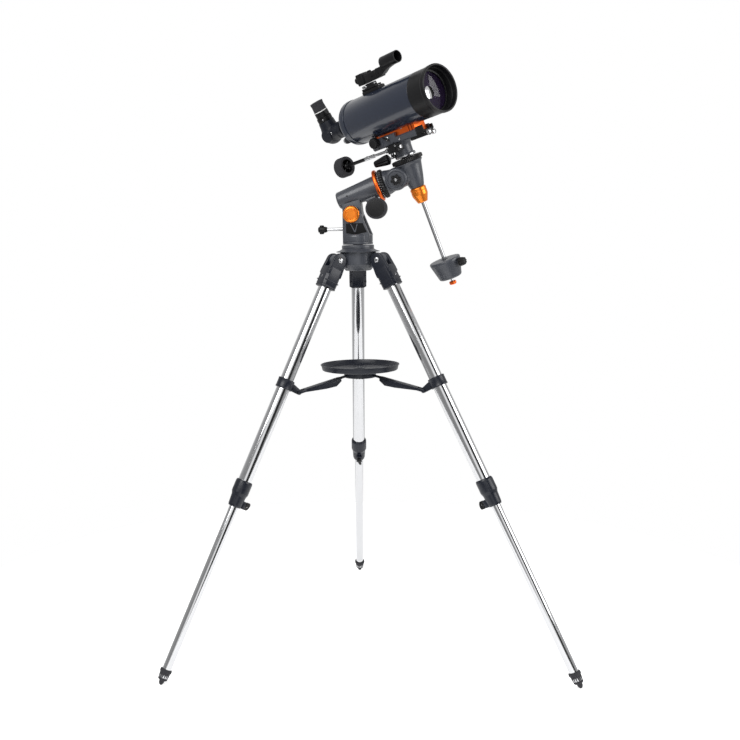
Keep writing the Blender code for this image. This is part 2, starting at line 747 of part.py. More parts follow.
def make_azimuth_base(azimuth):
    """The turntable with its fork, standing on the hub. Its frame's origin is on the hub's top face."""
    profile = [
        (0, BASE_HEIGHT),
        (BASE_RADIUS - 0.003, BASE_HEIGHT),
        (BASE_RADIUS, BASE_HEIGHT - 0.004),
        (BASE_RADIUS, 0.002),
        (BASE_RADIUS - 0.001, 0),
        (SPIGOT_RADIUS, 0),
        (SPIGOT_RADIUS, -SPIGOT_LENGTH),
        (0, -SPIGOT_LENGTH),
    ]
    base = turned("azimuth_base", profile, grey_paint(), azimuth)
    bolt = (LATITUDE_OFFSET, LATITUDE_HEIGHT)
    left = bolt[0] - FORK_EYE_RADIUS
    outline = (
        [(left, 0.006), (BASE_RADIUS - 0.006, 0.006), (BASE_RADIUS - 0.002, BASE_HEIGHT)]
        + arc(bolt, FORK_EYE_RADIUS, 20, 180, 11)
    )
    side = FORK_GAP / 2 + FORK_CHEEK / 2
    for name, way in (("front_cheek", -1), ("back_cheek", 1)):
        cheek = plate(name, outline, FORK_CHEEK, None, azimuth, (0, way * side, 0), (pi / 2, 0, 0))
        join(base, cheek)
    screw_height = LATITUDE_HEIGHT - SCREW_BELOW_BOLT
    bridge = block(
        "fork_bridge", (left, -side, screw_height - 0.014), (left + 0.008, side, screw_height + 0.011),
        None, azimuth,
    )
    join(base, bridge)
    bolt_hole = rod(
        "fork_bolt_hole", LATITUDE_BOLT_RADIUS + GAP, 0.05, -0.05, None, azimuth,
        (bolt[0], 0, bolt[1]), TO_FRONT, 16,
    )
    screw_hole = rod(
        "fork_screw_hole", SCREW_RADIUS + GAP, 0.02, -0.02, None, azimuth,
        (left + 0.004, 0, screw_height), TO_BACK, 16,
    )
    return cut(base, bolt_hole, screw_hole)


def make_latitude_bolt(polar):
    """The hinge bolt of the fork, with a domed cap at each end."""
    inside = FORK_GAP / 2 + FORK_CHEEK + GAP
    half_profile = [
        (0, inside + CAP_HEIGHT),
        (CAP_RADIUS * 0.62, inside + CAP_HEIGHT),
        (CAP_RADIUS * 0.93, inside + CAP_HEIGHT * 0.72),
        (CAP_RADIUS, inside + CAP_HEIGHT * 0.35),
        (CAP_RADIUS, inside),
        (LATITUDE_BOLT_RADIUS, inside),
    ]
    mirrored = [(radius, -height) for radius, height in reversed(half_profile)]
    return turned("latitude_bolt", half_profile + mirrored, orange_metal(), polar, turn=TO_FRONT)


def make_latitude_screw(azimuth):
    """The T-handled screw that sets the latitude, turning about its own Z, which points to -X."""
    height = LATITUDE_HEIGHT - SCREW_BELOW_BOLT
    left = LATITUDE_OFFSET - FORK_EYE_RADIUS
    frame = frame_at("latitude_screw_frame", azimuth, (left, 0, height), TO_BACK)
    screw = rod("latitude_screw", SCREW_RADIUS, SCREW_REACH - 0.002, -0.014, steel(), frame, steps=16)
    profile = [
        (0, SCREW_REACH + 0.006),
        (HANDLE_RADIUS * 0.75, SCREW_REACH + 0.006),
        (HANDLE_RADIUS, SCREW_REACH - 0.004),
        (HANDLE_RADIUS * 0.8, SCREW_REACH - 0.016),
        (0, SCREW_REACH - 0.016),
    ]
    grip = turned("screw_grip", profile, None, frame, steps=16)
    bar = block(
        "screw_bar", (-HANDLE_LENGTH / 2, -HANDLE_RADIUS * 0.7, SCREW_REACH - 0.012),
        (HANDLE_LENGTH / 2, HANDLE_RADIUS * 0.7, SCREW_REACH + 0.003), None, frame, rounding=0.002,
    )
    return join(screw, grip, bar)


def make_polar_housing(polar):
    """The barrel that carries the polar shaft, with the lobe that hinges in the fork."""
    length = BARREL_FRONT - BARREL_BACK
    profile = [
        (0, length),
        (RA_RING_RADIUS - 0.005, length),
        (RA_RING_RADIUS - 0.005, length - 0.003),
        (BARREL_FRONT_RADIUS, length - 0.010),
        (BARREL_BACK_RADIUS, 0.0015),
        (BARREL_BACK_RADIUS - 0.0015, 0),
        (0, 0),
    ]
    barrel = turned("polar_housing", profile, grey_paint(), polar, (BARREL_BACK, 0, POLAR_RISE), TO_X)
    lobe_width = FORK_GAP - 2 * GAP - 0.0004
    outline = arc((0, 0), LOBE_RADIUS, 180, 360, 13) + [(0.030, POLAR_RISE - 0.012), (-0.012, POLAR_RISE)]
    lobe = plate("polar_lobe", outline, lobe_width, None, polar, turn=(pi / 2, 0, 0))
    worm_box = block(
        "worm_bracket", (RA_WORM_X - 0.010, -0.018, RA_WORM_Z - 0.009),
        (RA_WORM_X + 0.008, 0.018, POLAR_RISE - BARREL_FRONT_RADIUS + 0.006), None, polar,
    )
    join(barrel, lobe, worm_box)
    shaft_hole = rod(
        "polar_bore", POLAR_SHAFT_RADIUS + GAP, length + 0.01, length - POLAR_SHAFT_LENGTH + 0.018, None,
        polar, (BARREL_BACK, 0, POLAR_RISE), TO_X,
    )
    bolt_hole = rod(
        "lobe_bolt_hole", LATITUDE_BOLT_RADIUS + GAP, 0.05, -0.05, None, polar, turn=TO_FRONT, steps=16
    )
    worm_hole = rod(
        "worm_hole", WORM_SHAFT_RADIUS + GAP, 0.05, -0.05, None, polar,
        (RA_WORM_X, 0, RA_WORM_Z), TO_FRONT, PIN_STEPS,
    )
    return cut(barrel, shaft_hole, bolt_hole, worm_hole)


def make_ra_rings(polar):
    """The orange trim ring, fixed to the barrel, and the setting circle that turns by hand."""
    bore = POLAR_SHAFT_RADIUS + GAP
    ring_start = BARREL_FRONT + GAP
    ring_profile = [
        (RA_RING_RADIUS - 0.002, RA_RING_WIDTH),
        (RA_RING_RADIUS, RA_RING_WIDTH * 0.7),
        (RA_RING_RADIUS, RA_RING_WIDTH * 0.3),
        (RA_RING_RADIUS - 0.002, 0),
        (bore, 0),
        (bore, RA_RING_WIDTH),
    ]
    turned("ra_trim_ring", ring_profile, orange_paint(), polar, (ring_start, 0, POLAR_RISE), TO_X)
    circle_start = ring_start + RA_RING_WIDTH + GAP
    pipe(
        "ra_setting_circle", RA_CIRCLE_RADIUS, bore, RA_CIRCLE_WIDTH, 0, black_plastic(), polar,
        (circle_start, 0, POLAR_RISE), TO_X,
    )


def slow_knob(name, reach, tail, parent, location, turn):
    """A slow-motion knob: a thin shaft from tail to reach, and a round grip beyond it."""
    knob = fluted(
        name, SLOW_KNOB_RADIUS, 0.0012, 12, SLOW_KNOB_LENGTH, rubber(), parent, location, turn
    )
    knob.data.transform(Matrix.Translation((0, 0, reach)))
    shaft = rod(
        name + "_shaft", WORM_SHAFT_RADIUS, reach + 0.004, tail, None, parent, location, turn, PIN_STEPS
    )
    return join(knob, shaft)


# ---------------------------------------------------------------- declination head and counterweight

def head_back():
    """Where the head's barrel starts behind the declination axis."""
    return BARREL_FRONT + RA_RING_WIDTH + RA_CIRCLE_WIDTH + 3 * GAP - HEAD_REACH


def make_head(head):
    """The casting that turns on the polar shaft and carries the declination shaft."""
    back = head_back()
    profile = [
        (0, 0.010),
        (HEAD_BARREL_RADIUS * 0.8, 0.010),
        (HEAD_BARREL_RADIUS, 0.002),
        (HEAD_BARREL_RADIUS, back + 0.010),
        (RA_CIRCLE_RADIUS - 0.005, back + 0.006),
        (RA_CIRCLE_RADIUS - 0.005, back),
        (POLAR_SHAFT_RADIUS, back),
        (POLAR_SHAFT_RADIUS, back - POLAR_SHAFT_LENGTH + 0.022),
        (0, back - POLAR_SHAFT_LENGTH + 0.022),
    ]
    body = turned("ra_head", profile, grey_paint(), head, turn=TO_X)
    cone = turned(
        "dec_housing",
        [
            (0, DEC_TOP), (DEC_TOP_RADIUS, DEC_TOP), (DEC_TOP_RADIUS, DEC_TOP - 0.004),
            (DEC_TOP_RADIUS - 0.007, DEC_TOP - 0.014), (DEC_BOTTOM_RADIUS + 0.005, -0.012),
            (DEC_BOTTOM_RADIUS, DEC_BOTTOM), (0, DEC_BOTTOM),
        ],
        None, head,
    )
    boss = turned(
        "lock_boss",
        [
            (0, HEAD_BOSS_REACH), (HEAD_BOSS_RADIUS - 0.004, HEAD_BOSS_REACH),
            (HEAD_BOSS_RADIUS, HEAD_BOSS_REACH - 0.003), (HEAD_BOSS_RADIUS, 0), (0, 0),
        ],
        None, head, (HEAD_BOSS_X, 0, 0), TO_FRONT,
    )
    join(body, cone, boss)
    dec_bore = rod(
        "dec_bore", DEC_SHAFT_RADIUS + GAP, DEC_TOP + 0.01, DEC_TOP - DEC_SHAFT_LENGTH - 0.001, None, head
    )
    rod_bore = rod("rod_bore", ROD_RADIUS + GAP, ROD_TOP + GAP, DEC_BOTTOM - 0.01, None, head)
    lock_bore = rod(
        "ra_lock_bore", LOCK_SCREW_RADIUS + GAP, HEAD_BOSS_REACH + 0.01, HEAD_BOSS_REACH - 0.012, None,
        head, (HEAD_BOSS_X, 0, 0), TO_FRONT, PIN_STEPS,
    )
    return cut(body, dec_bore, rod_bore, lock_bore)


def make_ra_lock_knob(head):
    knob = fluted(
        "ra_lock_knob", 0.0130, 0.004, 5, 0.011, black_plastic(), head,
        (HEAD_BOSS_X, -HEAD_BOSS_REACH - GAP, 0), TO_FRONT,
    )
    screw = rod(
        "ra_lock_screw", LOCK_SCREW_RADIUS, 0.004, -0.011, None, head,
        (HEAD_BOSS_X, -HEAD_BOSS_REACH - GAP, 0), TO_FRONT, PIN_STEPS,
    )
    return join(knob, screw)


def make_dec_circle(head):
    bottom = DEC_TOP + GAP
    bore = DEC_NECK_RADIUS + GAP
    profile = [
        (DEC_CIRCLE_RADIUS - 0.007, DEC_CIRCLE_HEIGHT),
        (DEC_CIRCLE_RADIUS - 0.001, DEC_CIRCLE_HEIGHT * 0.35),
        (DEC_CIRCLE_RADIUS, DEC_CIRCLE_HEIGHT * 0.2),
        (DEC_CIRCLE_RADIUS, 0),
        (bore, 0),
        (bore, DEC_CIRCLE_HEIGHT),
    ]
    return turned("dec_setting_circle", profile, black_plastic(), head, (0, 0, bottom))


def make_counterweight_set(head):
    """The orange collar nut, the rod, the sliding weight with its clamp knob, and the end stop."""
    nut_top = DEC_BOTTOM - GAP
    bore = ROD_RADIUS + GAP
    nut = [
        (COLLAR_NUT_RADIUS, nut_top),
        (COLLAR_NUT_RADIUS, nut_top - 0.020),
        (COLLAR_NUT_RADIUS * 0.62, nut_top - COLLAR_NUT_HEIGHT),
        (bore, nut_top - COLLAR_NUT_HEIGHT),
        (bore, nut_top),
    ]
    turned("shaft_collar", nut, orange_metal(), head)
    rod("counterweight_rod", ROD_RADIUS, ROD_TOP, ROD_END, steel(), head, steps=16)
    weight_frame = frame_at("counterweight_frame", head, (0, 0, WEIGHT_TOP))
    profile = [
        (WEIGHT_TOP_RADIUS - 0.003, 0),
        (WEIGHT_TOP_RADIUS, -0.003),
        (WEIGHT_BOTTOM_RADIUS + 0.001, -WEIGHT_HEIGHT + 0.003),
        (WEIGHT_BOTTOM_RADIUS - 0.002, -WEIGHT_HEIGHT),
        (bore, -WEIGHT_HEIGHT),
        (bore, 0),
    ]
    weight = turned("counterweight", profile, cast_grey(), weight_frame, steps=FINE_STEPS)
    knob_frame = frame_at(
        "counterweight_knob_frame", weight_frame, (0, 0, -WEIGHT_KNOB_DROP), (0, pi / 2, WEIGHT_KNOB_TURN)
    )
    start = WEIGHT_TOP_RADIUS + GAP
    knob = fluted(
        "counterweight_knob", WEIGHT_KNOB_RADIUS, 0.002, 8, 0.017, black_plastic(), knob_frame, taper=0.8
    )
    knob.data.transform(Matrix.Translation((0, 0, start)))
    screw = rod(
        "weight_screw", LOCK_SCREW_RADIUS, start + 0.003, ROD_RADIUS + 0.002, None, knob_frame,
        steps=PIN_STEPS,
    )
    join(knob, screw)
    hole = rod(
        "weight_screw_hole", LOCK_SCREW_RADIUS + GAP, 0.06, ROD_RADIUS, None, knob_frame, steps=PIN_STEPS
    )
    cut(weight, hole)
    stop = [
        (0, ROD_END - GAP), (0.003, ROD_END - GAP), (0.003, ROD_END - 0.0070),
        (STOP_RADIUS, ROD_END - 0.0075), (STOP_RADIUS, ROD_END - 0.0140), (0, ROD_END - 0.0155),
    ]
    turned("safety_screw", stop, orange_paint(), head, steps=16)


# ---------------------------------------------------------------- saddle

def dovetail_outline(grow, top):
    """Half-widths of the dovetail at its foot and neck, grown by a clearance, as a closed outline."""
    foot = DOVETAIL_WIDTH / 2 + grow
    neck = DOVETAIL_NECK / 2 + grow
    floor = CHANNEL_FLOOR + GAP - grow
    shoulder = SADDLE_BOTTOM + SADDLE_HEIGHT
    return [(-foot, floor), (foot, floor), (neck, shoulder), (neck, top), (-neck, top), (-neck, shoulder)]


def make_saddle(saddle):
    """The dovetail saddle, on the declination shaft that runs down into the head."""
    pedestal_bottom = DEC_TOP + DEC_CIRCLE_HEIGHT + 2 * GAP
    profile = [
        (0, SADDLE_BOTTOM + 0.006),
        (PEDESTAL_RADIUS, SADDLE_BOTTOM + 0.006),
        (PEDESTAL_RADIUS, pedestal_bottom),
        (DEC_NECK_RADIUS, pedestal_bottom),
        (DEC_NECK_RADIUS, DEC_TOP + GAP),
        (DEC_SHAFT_RADIUS, DEC_TOP + GAP),
        (DEC_SHAFT_RADIUS, DEC_TOP - DEC_SHAFT_LENGTH),
        (0, DEC_TOP - DEC_SHAFT_LENGTH),
    ]
    post = turned("saddle", profile, grey_paint(), saddle)
    half = SADDLE_WIDTH / 2
    bed = block(
        "saddle_bed", (SADDLE_BACK, -half, SADDLE_BOTTOM),
        (SADDLE_BACK + SADDLE_LENGTH, half, SADDLE_BOTTOM + SADDLE_HEIGHT), None, saddle, rounding=0.002,
    )
    worm_box = block(
        "dec_worm_bracket", (-0.016, DEC_WORM_SIDE - 0.008, DEC_WORM_HEIGHT - 0.008),
        (0.016, -0.010, SADDLE_BOTTOM + 0.003), None, saddle,
    )
    step = block(
        "saddle_step", (SADDLE_STEP_AT, -0.1, SADDLE_STEP_HEIGHT), (0.2, 0.1, 0.2), None, saddle
    )
    join(post, bed, worm_box)
    channel = plate(
        "saddle_channel", dovetail_outline(GAP, 0.13), 0.3, None, saddle, turn=(pi / 2, 0, pi / 2)
    )
    worm_hole = rod(
        "dec_worm_hole", WORM_SHAFT_RADIUS + GAP, 0.05, -0.05, None, saddle,
        (0, DEC_WORM_SIDE, DEC_WORM_HEIGHT), TO_BACK, 16,
    )
    screw_hole = rod(
        "saddle_screw_hole", LOCK_SCREW_RADIUS + GAP, half + 0.01, DOVETAIL_NECK / 2, None, saddle,
        (SADDLE_KNOB_AT, 0, CHANNEL_FLOOR + SADDLE_KNOB_RISE), TO_FRONT, PIN_STEPS,
    )
    lock_hole = rod(
        "dec_lock_hole", LOCK_SCREW_RADIUS + GAP, PEDESTAL_RADIUS + 0.01, DEC_NECK_RADIUS, None, saddle,
        (0, 0, DEC_LOCK_HEIGHT), (0, pi / 2, DEC_LOCK_TURN), PIN_STEPS,
    )
    return cut(post, step, channel, worm_hole, screw_hole, lock_hole)


def make_saddle_knob(saddle):
    start = SADDLE_WIDTH / 2 + GAP
    place = (SADDLE_KNOB_AT, 0, CHANNEL_FLOOR + SADDLE_KNOB_RISE)
    knob = fluted(
        "saddle_knob", SADDLE_KNOB_RADIUS, 0.0015, 10, SADDLE_KNOB_LENGTH, black_plastic(), saddle, place,
        TO_FRONT,
    )
    knob.data.transform(Matrix.Translation((0, 0, start)))
    screw = rod(
        "saddle_screw", LOCK_SCREW_RADIUS, start + 0.004, DOVETAIL_WIDTH / 2 + GAP, None, saddle, place,
        TO_FRONT, PIN_STEPS,
    )
    return join(knob, screw)


def make_dec_lock_knob(saddle):
    """The long fluted knob that clamps the declination shaft, on its thin stem."""
    turn = (0, pi / 2, DEC_LOCK_TURN)
    knob = fluted(
        "dec_lock_knob", DEC_LOCK_RADIUS, 0.002, 7, DEC_LOCK_LENGTH, black_plastic(), saddle,
        (0, 0, DEC_LOCK_HEIGHT), turn, taper=0.5,
    )
    knob.data.transform(Matrix.Translation((0, 0, DEC_LOCK_START)))
    stem = rod(
        "dec_lock_stem", LOCK_SCREW_RADIUS, DEC_LOCK_START + 0.004, DEC_NECK_RADIUS + 0.002, None, saddle,
        (0, 0, DEC_LOCK_HEIGHT), turn, PIN_STEPS,
    )
    return join(knob, stem)


# ---------------------------------------------------------------- optical tube

def make_dovetail_bar(tube):
    """The bar under the tube, hollowed on top to fit it. The tube's frame is on the tube's axis."""
    down = -TUBE_AXIS_HEIGHT
    outline = [(y, z + down) for y, z in dovetail_outline(0, TUBE_AXIS_HEIGHT - TUBE_RADIUS + 0.005)]
    start = SADDLE_BACK + 0.006
    bar = plate(
        "dovetail_bar", outline, DOVETAIL_LENGTH, orange_paint(), tube,
        (start + DOVETAIL_LENGTH / 2, 0, 0), (pi / 2, 0, pi / 2),
    )
    seat = rod(
        "bar_seat", TUBE_RADIUS + GAP, 0.2, -0.2, None, tube, turn=TO_X, steps=FINE_STEPS
    )
    return cut(bar, seat)


def make_tube_shell(tube):
    inner = TUBE_RADIUS - TUBE_SHELL
    pipe(
        "optical_tube", TUBE_RADIUS, inner, TUBE_FRONT, TUBE_BACK, blue_enamel(), tube, turn=TO_X,
        steps=FINE_STEPS,
    )
    lip = TUBE_RADIUS + FRONT_CELL_LIP
    mouth = TUBE_RADIUS - FRONT_CELL_WALL
    seat = TUBE_OUTER_END - CORRECTOR_DEPTH
    profile = [
        (mouth + 0.001, TUBE_OUTER_END),
        (lip, TUBE_OUTER_END - 0.002),
        (lip, TUBE_OUTER_END - 0.008),
        (TUBE_RADIUS, TUBE_OUTER_END - 0.012),
        (TUBE_RADIUS, TUBE_FRONT + GAP),
        (inner - GAP, TUBE_FRONT + GAP),
        (inner - GAP, TUBE_FRONT - 0.008),
        (inner - 0.004, TUBE_FRONT - 0.008),
        (inner - 0.004, seat - CORRECTOR_THICKNESS - 2 * GAP),
        (mouth, seat - CORRECTOR_THICKNESS - 2 * GAP),
    ]
    turned("front_cell", profile, black_plastic(), tube, turn=TO_X, steps=FINE_STEPS)


def make_corrector(tube):
    """The meniscus lens in the front cell, with the secondary spot on its inner face."""
    front = TUBE_OUTER_END - CORRECTOR_DEPTH
    radius = TUBE_RADIUS - FRONT_CELL_WALL - GAP
    sag = 0.006
    back = front - CORRECTOR_THICKNESS
    profile = [
        (0, front - sag),
        (radius * 0.5, front - sag * 0.75),
        (radius, front),
        (radius, back),
        (radius * 0.5, back - sag * 0.75),
        (0, back - sag),
    ]
    turned("corrector_lens", profile, lens_glass(), tube, turn=TO_X, steps=FINE_STEPS)


def make_rear_cell(tube):
    inner = TUBE_RADIUS - TUBE_SHELL - GAP
    back = TUBE_BACK - REAR_CELL_LENGTH
    round_centre = (TUBE_RADIUS + 0.001 - REAR_CELL_ROUND, back + REAR_CELL_ROUND)
    corner = [
        (
            round_centre[0] + REAR_CELL_ROUND * cos(radians(a)),
            round_centre[1] - REAR_CELL_ROUND * sin(radians(a)),
        )
        for a in (0, 22.5, 45, 67.5, 90)
    ]
    profile = (
        [(inner, TUBE_BACK + 0.008), (inner, TUBE_BACK - GAP), (TUBE_RADIUS + 0.001, TUBE_BACK - GAP)]
        + corner
        + [(REAR_PORT_RADIUS, back), (REAR_PORT_RADIUS, PORT_END), (LIGHT_PATH_RADIUS, PORT_END)]
        + [(LIGHT_PATH_RADIUS, back + 0.004), (inner - 0.012, back + 0.004), (inner - 0.003, back + 0.014)]
        + [(inner - 0.003, TUBE_BACK + 0.008)]
    )
    cell = turned("rear_cell", profile, dark_plastic(), tube, turn=TO_X, steps=FINE_STEPS)
    hole = rod(
        "focus_hole", LOCK_SCREW_RADIUS + GAP, 0.03, -0.03, None, tube,
        (back, FOCUS_KNOB_SIDE, FOCUS_KNOB_DROP), TO_BACK, PIN_STEPS,
    )
    return cut(cell, hole)


def make_mirror(tube):
    """The primary mirror with its baffle tube, which slides to focus."""
    face = MIRROR_AT + MIRROR_THICKNESS
    profile = [
        (BAFFLE_RADIUS, face + BAFFLE_LENGTH),
        (BAFFLE_RADIUS, face - 0.002),
        (MIRROR_RADIUS, face),
        (MIRROR_RADIUS, MIRROR_AT),
        (LIGHT_PATH_RADIUS, MIRROR_AT),
        (LIGHT_PATH_RADIUS, face + BAFFLE_LENGTH),
    ]
    turned("primary_mirror", profile, mirror_silver(), tube, turn=TO_X, steps=FINE_STEPS)


def make_focus_knob(tube):
    back = TUBE_BACK - REAR_CELL_LENGTH
    place = (back, FOCUS_KNOB_SIDE, FOCUS_KNOB_DROP)
    knob = fluted(
        "focus_knob", FOCUS_KNOB_RADIUS, 0.001, 9, FOCUS_KNOB_LENGTH, rubber(), tube, place, TO_BACK
    )
    knob.data.transform(Matrix.Translation((0, 0, GAP)))
    screw = rod("focus_screw", LOCK_SCREW_RADIUS, 0.004, -0.016, None, tube, place, TO_BACK, PIN_STEPS)
    return join(knob, screw)


def make_diagonal(frame):
    """The star diagonal. Its frame turns about the tube's axis, and its holder points along +Z."""
    nose_end = PORT_END - GAP - ELBOW_X
    shape = bmesh.new()
    bmesh.ops.create_uvsphere(shape, u_segments=16, v_segments=10, radius=ELBOW_RADIUS)
    elbow_mesh = mesh_from(shape, "diagonal")
    elbow = add_object("diagonal", elbow_mesh, dark_plastic(), frame, (0, 0, 0), TO_FRONT)
    nose = turned(
        "diagonal_nose",
        [
            (0, nose_end),
            (REAR_PORT_RADIUS + 0.0015, nose_end),
            (REAR_PORT_RADIUS + 0.0015, nose_end - 0.014),
            (NOSE_RADIUS, nose_end - 0.016), (NOSE_RADIUS, 0.002), (0, 0.002),
        ],
        None, frame, turn=TO_X,
    )
    holder = turned(
        "eyepiece_holder",
        [
            (0, HOLDER_TOP), (HOLDER_RADIUS, HOLDER_TOP), (HOLDER_RADIUS, HOLDER_TOP - 0.012),
            (HOLDER_RADIUS + 0.0012, 0.010), (0, 0.002),
        ],
        None, frame,
    )
    join(elbow, nose, holder)
    nose_bore = rod(
        "nose_bore", LIGHT_PATH_RADIUS, nose_end + 0.01, -0.008, None, frame, turn=TO_X, steps=20
    )
    top_bore = rod(
        "holder_bore", LIGHT_PATH_RADIUS + 0.0002, HOLDER_TOP + 0.01, -0.006, None, frame, steps=24
    )
    return cut(elbow, nose_bore, top_bore)


def make_eyepiece(frame):
    seat = HOLDER_TOP + GAP
    profile = [
        (0, EYEPIECE_TOP - 0.004),
        (EYEPIECE_RADIUS - 0.006, EYEPIECE_TOP - 0.004),
        (EYEPIECE_RADIUS - 0.003, EYEPIECE_TOP),
        (EYEPIECE_RADIUS + 0.0015, EYEPIECE_TOP),
        (EYEPIECE_RADIUS, EYEPIECE_TOP - 0.006),
        (EYEPIECE_RADIUS, seat),
        (EYEPIECE_BARREL_RADIUS, seat),
        (EYEPIECE_BARREL_RADIUS, seat - 0.022),
        (0, seat - 0.022),
    ]
    turned("eyepiece", profile, black_plastic(), frame)


# ---------------------------------------------------------------- finder

def make_finder(tube):
    half = FINDER_FOOT_LENGTH / 2
    side = FINDER_FOOT_WIDTH / 2
    foot = block(
        "finder_base", (FINDER_AT - half, -side, TUBE_RADIUS - 0.004),
        (FINDER_AT + half, side, TUBE_RADIUS + 0.007), black_plastic(), tube, rounding=0.0015,
    )
    stem = block(
        "finder_stem", (FINDER_AT - 0.012, -0.008, TUBE_RADIUS + 0.004),
        (FINDER_AT + 0.012, 0.008, FINDER_STEM_TOP), None, tube,
    )
    seat = rod("finder_seat", TUBE_RADIUS + GAP, 0.2, -0.2, None, tube, turn=TO_X, steps=FINE_STEPS)
    cut(join(foot, stem), seat)
    frame = frame_at("finder_frame", tube, (FINDER_AT, 0, FINDER_STEM_TOP))
    up = -FINDER_STEM_TOP
    wide = FINDER_BODY_WIDTH / 2
    body = block(
        "finder_body", (FINDER_BODY_BACK - FINDER_AT, -wide, FINDER_BODY_BOTTOM + up),
        (
            FINDER_BODY_BACK + FINDER_BODY_LENGTH - FINDER_AT,
            wide,
            FINDER_BODY_BOTTOM + FINDER_BODY_HEIGHT + up,
        ),
        black_plastic(), frame, rounding=0.003,
    )
    ring_start = FINDER_RING_BACK - FINDER_AT
    height = FINDER_RING_HEIGHT + up
    ring = rod(
        "finder_ring", FINDER_RING_RADIUS, FINDER_RING_LENGTH, 0, None, frame,
        (ring_start, 0, height), TO_X,
    )
    body_top = FINDER_BODY_BOTTOM + up
    neck_outline = [
        (ring_start - 0.010, body_top + 0.002), (ring_start + 0.012, body_top + 0.004),
        (ring_start + 0.034, height - FINDER_RING_RADIUS + 0.001),
        (ring_start + 0.034, height - FINDER_RING_RADIUS + 0.006), (ring_start - 0.010, height - 0.006),
    ]
    neck = plate("finder_neck", neck_outline, 0.016, None, frame, turn=(pi / 2, 0, 0))
    join(body, ring, neck)
    hole = rod(
        "finder_ring_hole", FINDER_RING_RADIUS - FINDER_RING_WALL, FINDER_RING_LENGTH + 0.01, 0.004, None,
        frame, (ring_start, 0, height), TO_X,
    )
    cut(body, hole)
    knob = fluted(
        "finder_knob", FINDER_KNOB_RADIUS, 0.001, 9, 0.010, black_plastic(), frame,
        (FINDER_BODY_BACK - FINDER_AT - GAP, 0, FINDER_BODY_BOTTOM + FINDER_BODY_HEIGHT / 2 + up), TO_BACK,
    )
    return knob


# ---------------------------------------------------------------- assembly

def make_mount(root):
    azimuth = frame_at("azimuth_frame", root, (0, 0, BASE_BOTTOM), (0, 0, AZIMUTH))
    make_azimuth_base(azimuth)
    make_latitude_screw(azimuth)
    polar = frame_at("polar_frame", azimuth, (LATITUDE_OFFSET, 0, LATITUDE_HEIGHT), (0, -LATITUDE, 0))
    make_latitude_bolt(polar)
    make_polar_housing(polar)
    make_ra_rings(polar)
    slow_knob("ra_slow_knob", RA_KNOB_REACH, -0.022, polar, (RA_WORM_X, 0, RA_WORM_Z), TO_FRONT)
    head = frame_at("head_frame", polar, (HEAD_REACH, 0, POLAR_RISE), (HOUR_TURN, 0, 0))
    make_head(head)
    make_ra_lock_knob(head)
    make_dec_circle(head)
    make_counterweight_set(head)
    return head


def make_telescope(head):
    saddle = frame_at("saddle_frame", head, (0, 0, 0), (0, 0, DECLINATION_TURN))
    make_saddle(saddle)
    make_saddle_knob(saddle)
    make_dec_lock_knob(saddle)
    slow_knob(
        "dec_slow_knob", DEC_KNOB_REACH, -0.020, saddle, (0, DEC_WORM_SIDE, DEC_WORM_HEIGHT), TO_BACK
    )
    tube = frame_at("tube_frame", saddle, (0, 0, TUBE_AXIS_HEIGHT))
    make_dovetail_bar(tube)
    make_tube_shell(tube)
    make_corrector(tube)
    make_rear_cell(tube)
    make_mirror(tube)
    make_focus_knob(tube)
    diagonal = frame_at("diagonal_frame", tube, (ELBOW_X, 0, 0), (DIAGONAL_TURN, 0, 0))
    make_diagonal(diagonal)
    make_eyepiece(diagonal)
    make_finder(tube)


def shade_smooth():
    for obj in PARTS.objects:
        obj.data.shade_smooth()
        obj.data.set_sharp_from_angle(angle=radians(35))


def main():
    global PARTS, CUTTERS
    clear_scene()
    PARTS = new_collection(NAME)
    CUTTERS = new_collection(NAME + "_cutters")
    centre = (FOOTPRINT_FRONT - FOOTPRINT_BACK) / 2
    root = frame_at("tripod_frame", None, (0, centre, 0))
    make_hub(root)
    for index in range(LEG_COUNT):
        make_leg(root, index)
    make_tray(root)
    make_telescope(make_mount(root))
    shade_smooth()


main()
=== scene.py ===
"""Mirror-lens telescope on an equatorial mount and a folding tripod: the surface model.

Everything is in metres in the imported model's frame. Local frames are read from the joints: a leg
frame has -Z down the leg, the polar frame has +X along the polar axis, the head frame adds +Z along
the declination axis, and the tube's frame has +X out of the front of the telescope.
"""

import json
from math import atan2, cos, hypot, pi, radians, sin

import bmesh
import bpy
from bpy.props import FloatProperty, FloatVectorProperty, IntProperty, PointerProperty
from bpy.types import Operator, Panel, PropertyGroup
from mathutils import Matrix, Vector


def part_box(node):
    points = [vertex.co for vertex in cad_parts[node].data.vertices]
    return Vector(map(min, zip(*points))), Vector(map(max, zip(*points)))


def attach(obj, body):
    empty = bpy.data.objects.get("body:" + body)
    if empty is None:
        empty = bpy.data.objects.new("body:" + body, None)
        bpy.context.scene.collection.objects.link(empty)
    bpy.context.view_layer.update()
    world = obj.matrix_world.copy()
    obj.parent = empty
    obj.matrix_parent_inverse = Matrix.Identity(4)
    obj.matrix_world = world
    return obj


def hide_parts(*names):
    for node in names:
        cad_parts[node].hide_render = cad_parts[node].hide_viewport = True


bl_info = {
    "name": "Telescope on tripod",
    "version": (1, 0, 0),
    "blender": (4, 5, 0),
    "location": "3D View > Sidebar > Telescope",
    "description": "Builds the surface model of a mirror-lens telescope on a tripod",
    "category": "Add Mesh",
}

